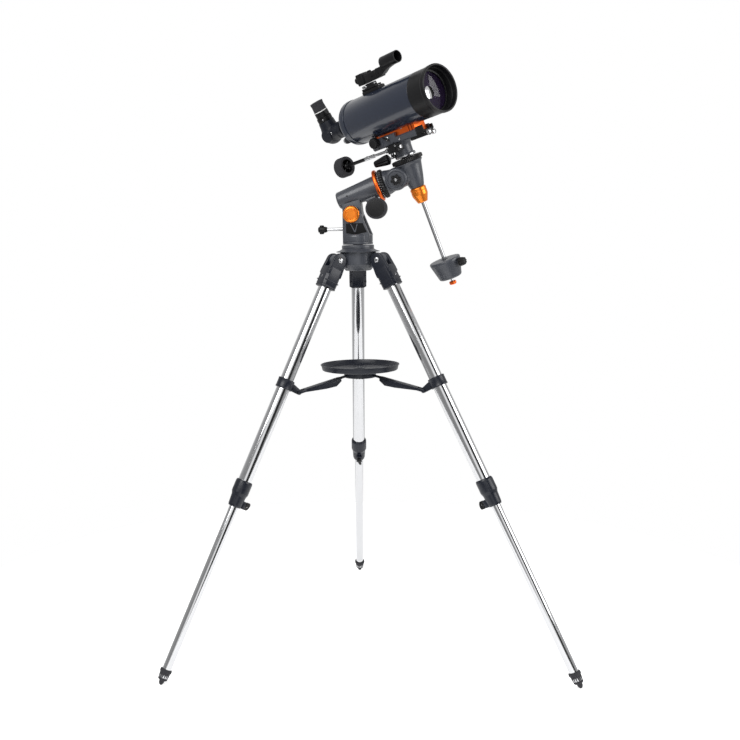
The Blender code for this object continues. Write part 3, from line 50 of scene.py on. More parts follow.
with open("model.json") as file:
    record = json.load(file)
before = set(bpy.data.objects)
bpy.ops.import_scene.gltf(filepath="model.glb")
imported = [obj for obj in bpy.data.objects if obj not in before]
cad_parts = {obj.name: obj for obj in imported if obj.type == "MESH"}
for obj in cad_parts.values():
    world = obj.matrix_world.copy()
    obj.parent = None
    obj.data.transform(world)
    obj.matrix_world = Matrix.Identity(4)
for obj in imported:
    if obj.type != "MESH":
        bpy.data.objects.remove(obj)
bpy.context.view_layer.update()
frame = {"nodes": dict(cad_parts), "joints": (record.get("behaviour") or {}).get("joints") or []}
JOINTS = {joint["name"]: joint for joint in frame["joints"]}
LEGS = (1, 2, 3)
MERGE = 1e-6  # points nearer than this are one point
ROUND_STEPS = 64
SMALL_STEPS = 28
SMOOTH_ANGLE = radians(32)

FACING = {
    "+X": Matrix.Rotation(pi / 2, 4, "Y"),
    "-X": Matrix.Rotation(-pi / 2, 4, "Y"),
    "+Y": Matrix.Rotation(-pi / 2, 4, "X"),
    "-Y": Matrix.Rotation(pi / 2, 4, "X"),
    "+Z": Matrix.Identity(4),
    "-Z": Matrix.Rotation(pi, 4, "X"),
}


# ---------------------------------------------------------------- local frames

def joint_axis(name):
    return Vector(JOINTS[name]["axis"]).normalized()


def joint_place(name):
    return Vector(JOINTS[name]["pos_m"])


def axes_frame(origin, x=None, y=None, z=None):
    """A frame from its origin and two of its axes."""
    if x is None:
        x = y.cross(z).normalized()
    if z is None:
        z = x.cross(y).normalized()
    y = z.cross(x).normalized()
    columns = Matrix((x, y, z)).transposed().to_4x4()
    return Matrix.Translation(origin) @ columns


def at(x=0.0, y=0.0, z=0.0, facing="+Z"):
    """A place in a local frame, with a shape's own +Z turned to face that way."""
    return Matrix.Translation((x, y, z)) @ FACING[facing]


def span(node, local, axis):
    """How far a node reaches along one axis of a local frame, as (low, high)."""
    inverse = local.inverted()
    values = [(inverse @ vertex.co)[axis] for vertex in frame["nodes"][node].data.vertices]
    return min(values), max(values)


POLAR = axes_frame(joint_place("latitude"), x=joint_axis("ra_axis"), y=-joint_axis("latitude"))
HEAD = axes_frame(
    joint_place("ra_axis"), y=joint_axis("dec_axis").cross(joint_axis("ra_axis")), z=joint_axis("dec_axis")
)
SADDLE = axes_frame(
    joint_place("dec_axis"), y=joint_axis("dec_axis").cross(joint_axis("dovetail_slide")),
    z=joint_axis("dec_axis"),
)
ELBOW = axes_frame(
    joint_place("diagonal_turn"), x=SADDLE.col[0].to_3d(),
    z=joint_axis("eyepiece_turn") * (1 if joint_axis("eyepiece_turn").z > 0 else -1),
)
TUBE = SADDLE @ at(z=(SADDLE.inverted() @ ELBOW.translation).z)
FINDER = Matrix.Translation(joint_place("finder_tilt")) @ SADDLE.to_3x3().to_4x4()
AZIMUTH = axes_frame(joint_place("azimuth_turn"), y=-joint_axis("latitude"), z=Vector((0, 0, 1)))
HUB = Matrix.Translation((AZIMUTH.translation.x, AZIMUTH.translation.y, joint_place("leg_1_fold").z))
TRAY = Matrix.Translation((HUB.translation.x, HUB.translation.y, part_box("accessory_tray")[1].z))
LEG = {
    n: axes_frame(joint_place(f"leg_{n}_fold"), y=joint_axis(f"leg_{n}_fold"), z=-joint_axis(f"leg_{n}_slide"))
    for n in LEGS
}


# ---------------------------------------------------------------- shapes

def lathe(outline, steps=ROUND_STEPS, ring=False):
    """Spins (radius, height, rounding) points about +Z. A ring's outline closes on itself."""
    solid = bmesh.new()
    corners = [solid.verts.new((point[0], 0, point[1])) for point in outline]
    for first, second in zip(corners, corners[1:]):
        solid.edges.new((first, second))
    if ring:
        solid.edges.new((corners[-1], corners[0]))
    for corner, point in zip(corners, outline):
        if len(point) > 2:
            bmesh.ops.bevel(
                solid, geom=[corner], offset=point[2], affect="VERTICES", segments=4, profile=0.5,
                material=-1, clamp_overlap=True,
            )
    bmesh.ops.spin(
        solid, geom=solid.verts[:] + solid.edges[:], cent=(0, 0, 0), axis=(0, 0, 1), angle=2 * pi,
        steps=steps, use_merge=True,
    )
    return solid


def rod(radius, low, high, chamfer=0.0004, steps=SMALL_STEPS):
    return lathe([(0, low), (radius, low, chamfer), (radius, high, chamfer), (0, high)], steps)


def prism(outline, low, high, edge=0.001, segments=3):
    """A flat outline in XY, drawn out from low to high along Z, with its edges rounded."""
    solid = bmesh.new()
    face = solid.faces.new([solid.verts.new((x, y, low)) for x, y in outline])
    grown = bmesh.ops.extrude_face_region(solid, geom=[face])
    top = [item for item in grown["geom"] if isinstance(item, bmesh.types.BMVert)]
    bmesh.ops.translate(solid, verts=top, vec=(0, 0, high - low))
    return round_edges(solid, edge, segments)


def brick(low, high, edge=0.001, segments=3):
    solid = bmesh.new()
    bmesh.ops.create_cube(solid, size=1)
    low, high = Vector(low), Vector(high)
    bmesh.ops.scale(solid, vec=high - low, verts=solid.verts)
    bmesh.ops.translate(solid, vec=(low + high) / 2, verts=solid.verts)
    return round_edges(solid, edge, segments)


def round_edges(solid, edge, segments, angle=radians(28)):
    bmesh.ops.recalc_face_normals(solid, faces=solid.faces)
    if edge:
        sharp = [e for e in solid.edges if len(e.link_faces) == 2 and e.calc_face_angle() > angle]
        bmesh.ops.bevel(
            solid, geom=sharp, offset=edge, affect="EDGES", segments=segments, profile=0.5, material=-1,
            clamp_overlap=True,
        )
    return solid


def flute(solid, lobes, depth, low, high, power=1.0, phase=0.0):
    """Draws a turned solid in between evenly spaced lobes, from low to high."""
    for vertex in solid.verts:
        radius = hypot(vertex.co.x, vertex.co.y)
        if low <= vertex.co.z <= high and radius > depth:
            turn = atan2(vertex.co.y, vertex.co.x) - phase
            share = ((1 - cos(lobes * turn)) / 2) ** power
            scale = 1 - share * depth / radius
            vertex.co.x *= scale
            vertex.co.y *= scale
    return solid


def add(piece, solid, place, finish=0):
    """Puts a finished solid in its place in a piece, in one of the piece's finishes."""
    bmesh.ops.remove_doubles(solid, verts=solid.verts, dist=MERGE)
    bmesh.ops.recalc_face_normals(solid, faces=solid.faces)
    bmesh.ops.transform(solid, matrix=place, verts=solid.verts)
    for face in solid.faces:
        face.material_index = finish
    mesh = bpy.data.meshes.new("solid")
    solid.to_mesh(mesh)
    solid.free()
    piece.from_mesh(mesh)
    bpy.data.meshes.remove(mesh)


def around(count, start=0.0):
    """Evenly spaced turns about +Z."""
    return [Matrix.Rotation(start + 2 * pi * index / count, 4, "Z") for index in range(count)]


def screw_head(piece, place, radius, height, finish=0):
    """A domed screw head with a round recess."""
    dome = [
        (0, height * 0.35), (radius * 0.45, height * 0.35), (radius * 0.5, height, radius * 0.08),
        (radius * 0.8, height * 0.9, radius * 0.1), (radius, height * 0.45, radius * 0.1), (radius, 0), (0, 0),
    ]
    add(piece, lathe(dome, SMALL_STEPS), place, finish)


def finish_piece(name, piece, body, finishes, slot, *replaced):
    """Makes the object, rides it on its body and hides the CAD nodes it stands for."""
    mesh = bpy.data.meshes.new(name)
    piece.to_mesh(mesh)
    piece.free()
    for finish in finishes:
        mesh.materials.append(finish)
    mesh.shade_smooth()
    mesh.set_sharp_from_angle(angle=SMOOTH_ANGLE)
    obj = bpy.data.objects.new(name, mesh)
    bpy.context.scene.collection.objects.link(obj)
    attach(obj, body)
    if replaced:
        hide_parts(*replaced)
    return obj


# ---------------------------------------------------------------- settings

def length(name, description, default):
    return FloatProperty(name=name, description=description, default=default, min=0.0, unit="LENGTH")


def colour(name, description, default):
    return FloatVectorProperty(
        name=name, description=description, default=default, subtype="COLOR", min=0.0, max=1.0, size=3
    )


class TubeSettings(PropertyGroup):
    """Sizes of the optical tube's details."""

    lip_length: length("Lip length", "Raised ring round the tube's mouth", 0.009)
    seam: length("Seam", "Groove between the tube and its cells", 0.0006)
    rim_round: length("Rear rim", "Rounding of the rear cell's rim", 0.013)
    retainer_width: length("Retainer", "Width of the ring that holds the corrector", 0.005)
    spot_radius: length("Secondary spot", "Radius of the silvered spot behind the corrector", 0.0145)
    eyepiece_band: length("Eyepiece band", "Height of the pale band round the eyepiece", 0.0022)
    elbow_radius: length("Elbow", "Radius of the diagonal's rounded corner", 0.0268)
    finder_bore: length("Finder bore", "Radius of the sight tube's bore", 0.0118)


class MountSettings(PropertyGroup):
    """Sizes and counts of the mount's details."""

    circle_teeth: IntProperty(
        name="Circle teeth", description="Ribs round the declination circle", default=54, min=12, max=180
    )
    ring_teeth: IntProperty(
        name="Ring teeth", description="Ribs round the right ascension circle", default=30, min=12, max=90
    )
    tick_count: IntProperty(
        name="Tick marks", description="White marks round a setting circle", default=36, min=12, max=72
    )
    tick_width: length("Tick width", "Width of one white mark", 0.0007)
    knob_ribs: IntProperty(
        name="Knob ribs", description="Ribs round a slow-motion knob", default=40, min=8, max=80
    )
    bolt_radius: length("Bolt radius", "Radius of the small screws on the castings", 0.0032)
    casting_round: length("Casting edge", "Rounding of the castings' edges", 0.0022)
    weight_round: length("Weight edge", "Rounding of the counterweight's edges", 0.004)


class TripodSettings(PropertyGroup):
    """Sizes of the tripod's details."""

    bracket_edge: length("Bracket edge", "Rounding of the leg brackets' edges", 0.0022)
    bolt_radius: length("Bolt radius", "Radius of the fold bolts' heads", 0.0066)
    cuff: length("Cuff", "Height of the bead at a leg bracket's lower end", 0.005)
    tray_rim: length("Tray rim", "Rounding of the tray's rim", 0.0011)
    foot_ribs: IntProperty(name="Foot ribs", description="Ribs round a rubber foot", default=14, min=4, max=40)


class FinishSettings(PropertyGroup):
    """Colours of the finishes."""

    enamel: colour("Enamel", "Gloss enamel of the optical tube", (0.0125, 0.0175, 0.0320))
    casting: colour("Casting paint", "Paint of the mount's castings", (0.045, 0.049, 0.060))
    moulding: colour("Moulding", "Blue-black plastic of the tripod", (0.0075, 0.0095, 0.0165))
    black: colour("Black", "Black paint and plastic", (0.0055, 0.0055, 0.0062))
    rubber: colour("Rubber", "Rubber of the grips and feet", (0.0080, 0.0080, 0.0088))
    orange: colour("Orange paint", "Paint of the ring, the dovetail bar and the end screw", (0.80, 0.105, 0.010))
    amber: colour("Orange anodising", "Anodised collar and bolt caps", (0.86, 0.235, 0.022))
    steel: colour("Steel", "Polished legs and plated screws", (0.74, 0.745, 0.76))
    # Dark purple glass tint: the purple of the lens film plus painted shade that darkens the view into the tube
    coating_and_painted_shade: colour("Lens coating", "Tint of the corrector's coating", (0.10, 0.06, 0.17))


class StageSettings(PropertyGroup):
    """The floor, the light and the camera."""

    floor: colour("Floor", "Colour of the floor", (0.93, 0.93, 0.93))
    floor_radius: FloatProperty(
        name="Floor radius", description="Radius of the floor", default=1.2, min=1.0, unit="LENGTH"
    )
    lens: FloatProperty(name="Lens", description="Focal length in millimetres", default=50.0, min=10.0)
    key_power: FloatProperty(
        name="Key light", description="Power of the large light in front", default=95.0, unit="POWER"
    )
    fill_power: FloatProperty(
        name="Fill light", description="Power of the light at the side", default=45.0, unit="POWER"
    )


# ---------------------------------------------------------------- finishes

def mixed_colour(nodes, links, factor, dark, light):
    mix = nodes.new("ShaderNodeMix")
    mix.data_type = "RGBA"
    mix.inputs["A"].default_value = (*dark, 1.0)
    mix.inputs["B"].default_value = (*light, 1.0)
    links.new(factor, mix.inputs["Factor"])
    return mix.outputs["Result"]


def noise_field(nodes, links, coordinates, scale, detail=4.0, stretch=(1, 1, 1)):
    mapping = nodes.new("ShaderNodeMapping")
    mapping.inputs["Scale"].default_value = stretch
    noise = nodes.new("ShaderNodeTexNoise")
    noise.inputs["Scale"].default_value = scale
    noise.inputs["Detail"].default_value = detail
    links.new(coordinates, mapping.inputs["Vector"])
    links.new(mapping.outputs["Vector"], noise.inputs["Vector"])
    return noise.outputs["Fac"]


def make_finish(
    name, base, roughness, metallic=0.0, grain=900.0, bump=0.10, depth=0.0001, mottle=0.12,
    spread=0.08, coat=0.0, specular=0.5,
):
    """A finish with fine grain, slow changes of shade and uneven gloss, all in object space."""
    found = bpy.data.materials.get(name)
    if found:
        return found
    material = bpy.data.materials.new(name)
    material.use_nodes = True
    nodes, links = material.node_tree.nodes, material.node_tree.links
    shader = nodes["Principled BSDF"]
    shader.inputs["Metallic"].default_value = metallic
    shader.inputs["Coat Weight"].default_value = coat
    shader.inputs["Coat Roughness"].default_value = 0.08
    shader.inputs["Specular IOR Level"].default_value = specular
    coordinates = nodes.new("ShaderNodeTexCoord").outputs["Object"]
    slow = noise_field(nodes, links, coordinates, 22.0)
    fine = noise_field(nodes, links, coordinates, grain, 3.0)
    dark = [channel * (1 - mottle) for channel in base]
    light = [min(1.0, channel * (1 + mottle)) for channel in base]
    links.new(mixed_colour(nodes, links, slow, dark, light), shader.inputs["Base Color"])
    gloss = nodes.new("ShaderNodeMapRange")
    gloss.inputs["To Min"].default_value = max(0.02, roughness - spread)
    gloss.inputs["To Max"].default_value = min(1.0, roughness + spread)
    links.new(noise_field(nodes, links, coordinates, 70.0), gloss.inputs["Value"])
    links.new(gloss.outputs["Result"], shader.inputs["Roughness"])
    relief = nodes.new("ShaderNodeBump")
    relief.inputs["Strength"].default_value = bump
    relief.inputs["Distance"].default_value = depth
    links.new(fine, relief.inputs["Height"])
    links.new(relief.outputs["Normal"], shader.inputs["Normal"])
    return material


def enamel():
    colours = bpy.context.scene.telescope_finishes
    return make_finish(
        "gloss_enamel", colours.enamel, 0.24, grain=420, bump=0.05, mottle=0.06, spread=0.04, coat=0.45
    )


def casting():
    colours = bpy.context.scene.telescope_finishes
    return make_finish(
        "casting_paint", colours.casting, 0.38, grain=650, bump=0.16, mottle=0.08, coat=0.15
    )


def moulding():
    colours = bpy.context.scene.telescope_finishes
    return make_finish(
        "blue_black_moulding", colours.moulding, 0.34, grain=1300, bump=0.22, mottle=0.10, specular=0.38
    )


def satin_black():
    colours = bpy.context.scene.telescope_finishes
    return make_finish("satin_black", colours.black, 0.38, grain=1500, bump=0.16, specular=0.26)


def matt_black():
    colours = bpy.context.scene.telescope_finishes
    return make_finish("matt_black", colours.black, 0.68, grain=1500, bump=0.25, specular=0.15)


def rubber():
    colours = bpy.context.scene.telescope_finishes
    return make_finish("rubber", colours.rubber, 0.60, grain=1100, bump=0.35, mottle=0.18, specular=0.18)


def orange_paint():
    colours = bpy.context.scene.telescope_finishes
    return make_finish("orange_paint", colours.orange, 0.30, grain=700, bump=0.08, mottle=0.05, coat=0.3)


def orange_anodising():
    colours = bpy.context.scene.telescope_finishes
    return make_finish(
        "orange_anodising", colours.amber, 0.30, metallic=0.75, grain=1600, bump=0.10, mottle=0.05
    )


def plated_steel():
    colours = bpy.context.scene.telescope_finishes
    return make_finish(
        "plated_steel", [channel * 0.62 for channel in colours.steel], 0.18,
        metallic=1.0, grain=1400, bump=0.05, mottle=0.05, spread=0.05
    )


def leg_steel():
    colours = bpy.context.scene.telescope_finishes
    return make_finish(
        "polished_leg_steel", [channel * 0.80 for channel in colours.steel], 0.13,
        metallic=1.0, grain=900, bump=0.03, mottle=0.04, spread=0.05
    )


def white_paint():
    return make_finish("white_marking", (0.78, 0.78, 0.77), 0.45, grain=1200, bump=0.05, mottle=0.04)


def silvering():
    return make_finish(
        "silvered_glass", (0.90, 0.90, 0.91), 0.06, metallic=1.0, grain=500, bump=0.01, mottle=0.02, spread=0.03
    )


def coated_glass():
    """Coated glass tinted dark purple: the film's purple plus painted shade that darkens the view through it into the
    tube. It is clearer in random patches where the film is thinner.
    """
    tint = bpy.context.scene.telescope_finishes.coating_and_painted_shade
    material = make_finish("coated_glass", tint, 0.05, grain=200, bump=0.0, mottle=0.25, spread=0.02)
    shader = material.node_tree.nodes["Principled BSDF"]
    shader.inputs["Transmission Weight"].default_value = 0.85
    shader.inputs["IOR"].default_value = 1.33
    return material


# ---------------------------------------------------------------- the telescope

def section(points):
    """A (y, z) cross-section as prism points, for a prism that faces +X."""
    return [(-z, y) for y, z in points]


class TELESCOPE_OT_optical_tube(Operator):
    """Builds the enamelled tube, its black front band and its rear cell"""

    bl_idname = "telescope.optical_tube"
    bl_label = "Optical tube"

    def execute(self, context):
        sizes = context.scene.telescope_tube
        back, front = span("optical_tube", TUBE, 0)
        radius = span("optical_tube", TUBE, 2)[1]
        wall = 0.0016
        shell = bmesh.new()
        outline = [
            (radius, back + sizes.seam, 0.0004), (radius, front - sizes.seam, 0.0004),
            (radius - wall, front - sizes.seam), (radius - wall, back + sizes.seam),
        ]
        add(shell, lathe(outline, 160, ring=True), TUBE @ at(facing="+X"))
        finish_piece(
            "enamelled_tube", shell, "tube", [enamel()], "blue_enamel", "optical_tube"
        )
        self.front_band(sizes, radius, front)
        self.rear_cell(sizes, radius, back)
        return {"FINISHED"}

    def front_band(self, sizes, radius, front):
        end = span("front_cell", TUBE, 0)[1]
        lip = span("front_cell", TUBE, 2)[1]
        glass = span("corrector_lens", TUBE, 0)[1]
        mouth = radius - 0.004
        retainer = mouth - sizes.retainer_width
        band = bmesh.new()
        outline = [
            (mouth + 0.0012, end, 0.0006), (lip, end, 0.0009), (lip, end - sizes.lip_length, 0.0009),
            (radius + 0.0001, end - sizes.lip_length - 0.0022, 0.0008), (radius + 0.0001, front, 0.0004),
            (radius - 0.002, front), (radius - 0.002, front - 0.008), (mouth - 0.001, front - 0.008),
            (mouth - 0.001, glass - 0.0108), (mouth, glass - 0.0104), (mouth, glass + 0.0004),
            (retainer, glass + 0.0004, 0.0003), (retainer, glass + 0.0035, 0.0005),
            (mouth - 0.001, glass + 0.0045), (mouth - 0.001, end - 0.0125, 0.0003),
            (mouth + 0.0006, end - 0.011, 0.0003),
        ]
        add(band, lathe(outline, 160, ring=True), TUBE @ at(facing="+X"))
        for depth in (0.0065, 0.0095, 0.0125, 0.0155):
            rib = [
                (mouth - 0.0007, glass + depth), (mouth - 0.0014, glass + depth + 0.0005),
                (mouth - 0.0007, glass + depth + 0.001), (mouth, glass + depth + 0.0005),
            ]
            add(band, lathe(rib, 128, ring=True), TUBE @ at(facing="+X"), 1)
        finish_piece(
            "front_band", band, "tube", [satin_black(), matt_black()], "black_plastic", "front_cell"
        )

    def rear_cell(self, sizes, radius, back):
        rear = back - 0.024
        port = span("rear_cell", TUBE, 0)[0]
        lip = span("rear_cell", TUBE, 2)[1]
        cell = bmesh.new()
        outline = [
            (radius - 0.003, back + 0.006), (radius - 0.003, back), (radius - 0.0008, back - 0.0002),
            (lip, back - 0.0010, 0.0004), (lip, rear, sizes.rim_round), (0.036, rear, 0.0006),
            (0.0345, rear - 0.0012, 0.0006), (0.0255, rear - 0.0012, 0.0006), (0.0245, rear, 0.0004),
            (0.0215, rear, 0.0004), (0.0212, port, 0.0006), (0.0128, port), (0.0128, rear + 0.004),
            (radius - 0.016, rear + 0.004), (radius - 0.006, rear + 0.014),
        ]
        add(cell, lathe(outline, 160, ring=True), TUBE @ at(facing="+X"))
        for turn in around(3, radians(30)):
            screw_head(cell, TUBE @ at(x=rear - 0.0011, facing="-X") @ turn @ at(x=0.030), 0.0021, 0.0011, 1)
        finish_piece(
            "rear_cell_casting", cell, "tube", [enamel(), plated_steel()], "dark_plastic", "rear_cell"
        )


class TELESCOPE_OT_optics(Operator):
    """Builds the corrector with its silvered spot, and the primary mirror with its baffle"""

    bl_idname = "telescope.optics"
    bl_label = "Optics"

    def execute(self, context):
        sizes = context.scene.telescope_tube
        front = span("corrector_lens", TUBE, 0)[1]
        radius = span("corrector_lens", TUBE, 2)[1]
        sag = 0.006
        lens = bmesh.new()
        curve = [(radius * share / 10, sag * (1 - (share / 10) ** 2)) for share in range(11)]
        outline = [(r, front - drop) for r, drop in curve] + [
            (r, front - 0.010 - drop) for r, drop in reversed(curve)
        ]
        add(lens, lathe(outline, 128), TUBE @ at(facing="+X"))
        # The corrector's dark tinted glass paints shade onto the view into the tube
        finish_piece(
            "corrector_meniscus", lens, "tube", [coated_glass()], "lens_glass", "corrector_lens"
        )
        spot = bmesh.new()
        disc = [
            (0, front - sag + 0.0009), (sizes.spot_radius, front - sag + 0.0006, 0.0003),
            (sizes.spot_radius, front - sag - 0.0004), (0, front - sag - 0.0008),
        ]
        add(spot, lathe(disc, 96), TUBE @ at(facing="+X"))
        baffle = [
            (sizes.spot_radius + 0.0012, front - 0.0168), (sizes.spot_radius + 0.0012, front - 0.036),
            (sizes.spot_radius + 0.0002, front - 0.036), (sizes.spot_radius + 0.0002, front - 0.0168),
        ]
        add(spot, lathe(baffle, 96, ring=True), TUBE @ at(facing="+X"), 1)
        finish_piece("secondary_spot", spot, "tube", [silvering(), matt_black()], "mirror_silver")
        self.primary()
        return {"FINISHED"}

    def primary(self):
        back, end = span("primary_mirror", TUBE, 0)
        radius = span("primary_mirror", TUBE, 2)[1]
        mirror = bmesh.new()
        curve = [(radius - 0.0317 * step / 8, 0.004 * (1 - (1 - step / 10) ** 2)) for step in range(9)]
        outline = [(0.0129, back), (radius, back, 0.0006)] + [(r, back + 0.010 - dip) for r, dip in curve]
        outline += [(0.0129, back + 0.006)]
        add(mirror, lathe(outline, 128, ring=True), TUBE @ at(facing="+X"))
        tube = [(0.0142, end), (0.0142, back + 0.004), (0.0126, back + 0.004), (0.0126, end)]
        add(mirror, lathe(tube, 96, ring=True), TUBE @ at(facing="+X"), 1)
        for rib in range(9):
            place = back + 0.016 + rib * 0.006
            collar = [(0.0148, place), (0.0148, place + 0.0008), (0.0138, place + 0.0008), (0.0138, place)]
            add(mirror, lathe(collar, 64, ring=True), TUBE @ at(facing="+X"), 1)
        finish_piece(
            "primary_mirror_and_baffle", mirror, "primary_mirror", [silvering(), matt_black()],
            "mirror_silver", "primary_mirror",
        )


class TELESCOPE_OT_rear_fittings(Operator):
    """Builds the focus knob, the star diagonal and the eyepiece"""

    bl_idname = "telescope.rear_fittings"
    bl_label = "Rear fittings"

    def execute(self, context):
        sizes = context.scene.telescope_tube
        self.focus_knob()
        self.diagonal(sizes)
        self.eyepiece(sizes)
        return {"FINISHED"}

    def focus_knob(self):
        front = span("rear_cell", TUBE, 0)[0] + 0.010
        end = span("focus_knob", TUBE, 0)[0]
        place = TUBE @ at(front, -0.026, -0.030, "-X")
        reach = front - end
        knob = bmesh.new()
        grip = lathe(
            [(0, 0.0008), (0.0072, 0.0008, 0.0003), (0.0085, 0.003, 0.0008), (0.0085, 0.013, 0.0006),
             (0.0070, 0.0135), (0, 0.0135)], 108,
        )
        add(knob, flute(grip, 27, 0.0006, 0.0028, 0.0132), place)
        cap = [
            (0, 0.013), (0.0076, 0.013), (0.0076, 0.0160, 0.0006), (0.0060, 0.0166, 0.0004),
            (0.0056, reach, 0.0008), (0, reach),
        ]
        add(knob, lathe(cap, 48), place, 1)
        finish_piece("focus_grip", knob, "focus_knob", [rubber(), plated_steel()], "rubber", "focus_knob")

    def diagonal(self, sizes):
        nose_end = span("diagonal", ELBOW, 0)[1]
        top = span("diagonal", ELBOW, 2)[1]
        body = bmesh.new()
        corner = bmesh.new()
        bmesh.ops.create_uvsphere(corner, u_segments=64, v_segments=40, radius=sizes.elbow_radius)
        bmesh.ops.scale(corner, vec=(1, 0.93, 1), verts=corner.verts)
        add(body, corner, ELBOW)
        barrel = [
            (0, -0.004), (0.0245, -0.004), (0.0240, 0.010, 0.004), (0.0212, 0.019, 0.004),
            (0.0196, top - 0.012, 0.0006), (0.0178, top - 0.0116), (0.0178, top - 0.010),
            (0, top - 0.010),
        ]
        add(body, lathe(barrel, 80), ELBOW)
        nose = [
            (0, -0.002), (0.0245, -0.002), (0.0242, 0.008, 0.004), (0.0206, 0.0185, 0.003),
            (0.0206, 0.034, 0.0005), (0.0196, 0.0345), (0.0196, 0.0455), (0, 0.0455),
        ]
        add(body, lathe(nose, 80), ELBOW @ at(facing="+X"))
        for side in ("-Y", "+Y"):
            way = -1 if side == "-Y" else 1
            cover = [(0, 0.0008), (0.0150, 0.0008, 0.0005), (0.0164, -0.003), (0, -0.003)]
            add(body, lathe(cover, 72), ELBOW @ at(y=way * (0.93 * sizes.elbow_radius - 0.0006), facing=side))
            screw_head(
                body, ELBOW @ at(0.0165, way * 0.0200, 0.0035, side), 0.0036, 0.0022, 2
            )
        ring = [
            (0.0135, nose_end), (0.0224, nose_end, 0.0008), (0.0224, nose_end - 0.0155, 0.0008),
            (0.0190, nose_end - 0.0165), (0.0135, nose_end - 0.0165),
        ]
        knurl = flute(lathe(ring, 144, ring=True), 48, 0.0004, nose_end - 0.0150, nose_end - 0.0005)
        add(body, knurl, ELBOW @ at(facing="+X"), 1)
        holder = [
            (0.0160, top), (0.0188, top, 0.0006), (0.0188, top - 0.0105, 0.0006), (0.0172, top - 0.0112),
            (0.0160, top - 0.0112),
        ]
        add(body, lathe(holder, 80, ring=True), ELBOW, 1)
        for turn in (radians(-60), radians(120)):
            spin = Matrix.Rotation(turn, 4, "Z")
            stem = ELBOW @ at(z=top - 0.0055) @ spin @ at(x=0.0178, facing="+X")
            screw_head(body, stem @ at(z=0.0006), 0.0024, 0.0028, 2)
        drop = ELBOW @ at(x=nose_end - 0.008) @ Matrix.Rotation(radians(195), 4, "X")
        thumb = flute(
            lathe([(0, 0), (0.0018, 0), (0.0018, 0.003), (0.0042, 0.0032, 0.0003),
                   (0.0042, 0.0085, 0.0005), (0, 0.0085)], 60),
            20, 0.0004, 0.0034, 0.0082,
        )
        add(body, thumb, drop @ at(z=0.0215), 2)
        finish_piece(
            "star_diagonal", body, "diagonal", [moulding_grey(), satin_black(), plated_steel()],
            "dark_plastic", "diagonal",
        )

    def eyepiece(self, sizes):
        seat = span("eyepiece", ELBOW, 2)[0] + 0.022
        top = span("eyepiece", ELBOW, 2)[1]
        band = top - 0.0250
        body = bmesh.new()
        barrel = [
            (0, seat - 0.012), (0.0155, seat - 0.012), (0.0155, seat + 0.0006, 0.0002),
            (0.0172, seat + 0.0008, 0.0004), (0.0172, band, 0.0004), (0.0165, band + 0.0002),
            (0.0165, band + sizes.eyepiece_band), (0, band + sizes.eyepiece_band),
        ]
        add(body, lathe(barrel, 80), ELBOW)
        ring = [
            (0.0150, band + 0.0003), (0.0171, band + 0.0003, 0.0003),
            (0.0171, band + sizes.eyepiece_band, 0.0003), (0.0150, band + sizes.eyepiece_band),
        ]
        add(body, lathe(ring, 80, ring=True), ELBOW, 1)
        start = band + sizes.eyepiece_band + 0.0003
        cup = [
            (0, start), (0.0164, start, 0.0004), (0.0156, top - 0.008, 0.001), (0.0165, top - 0.0015, 0.0006),
            (0.0165, top, 0.0006), (0.0144, top, 0.0006), (0.0118, top - 0.0042, 0.0006),
            (0.0095, top - 0.0045, 0.0003), (0.0090, top - 0.006), (0, top - 0.006),
        ]
        grip = flute(lathe(cup, 120), 30, 0.0004, start + 0.002, top - 0.009)
        add(body, grip, ELBOW, 2)
        eye_lens = [(0, top - 0.0045), (0.006, top - 0.0050), (0.0088, top - 0.0058), (0, top - 0.0058)]
        add(body, lathe(eye_lens, 48), ELBOW, 3)
        finish_piece(
            "eyepiece_barrel", body, "eyepiece",
            [satin_black(), white_paint(), rubber(), coated_glass()], "black_plastic", "eyepiece",
        )


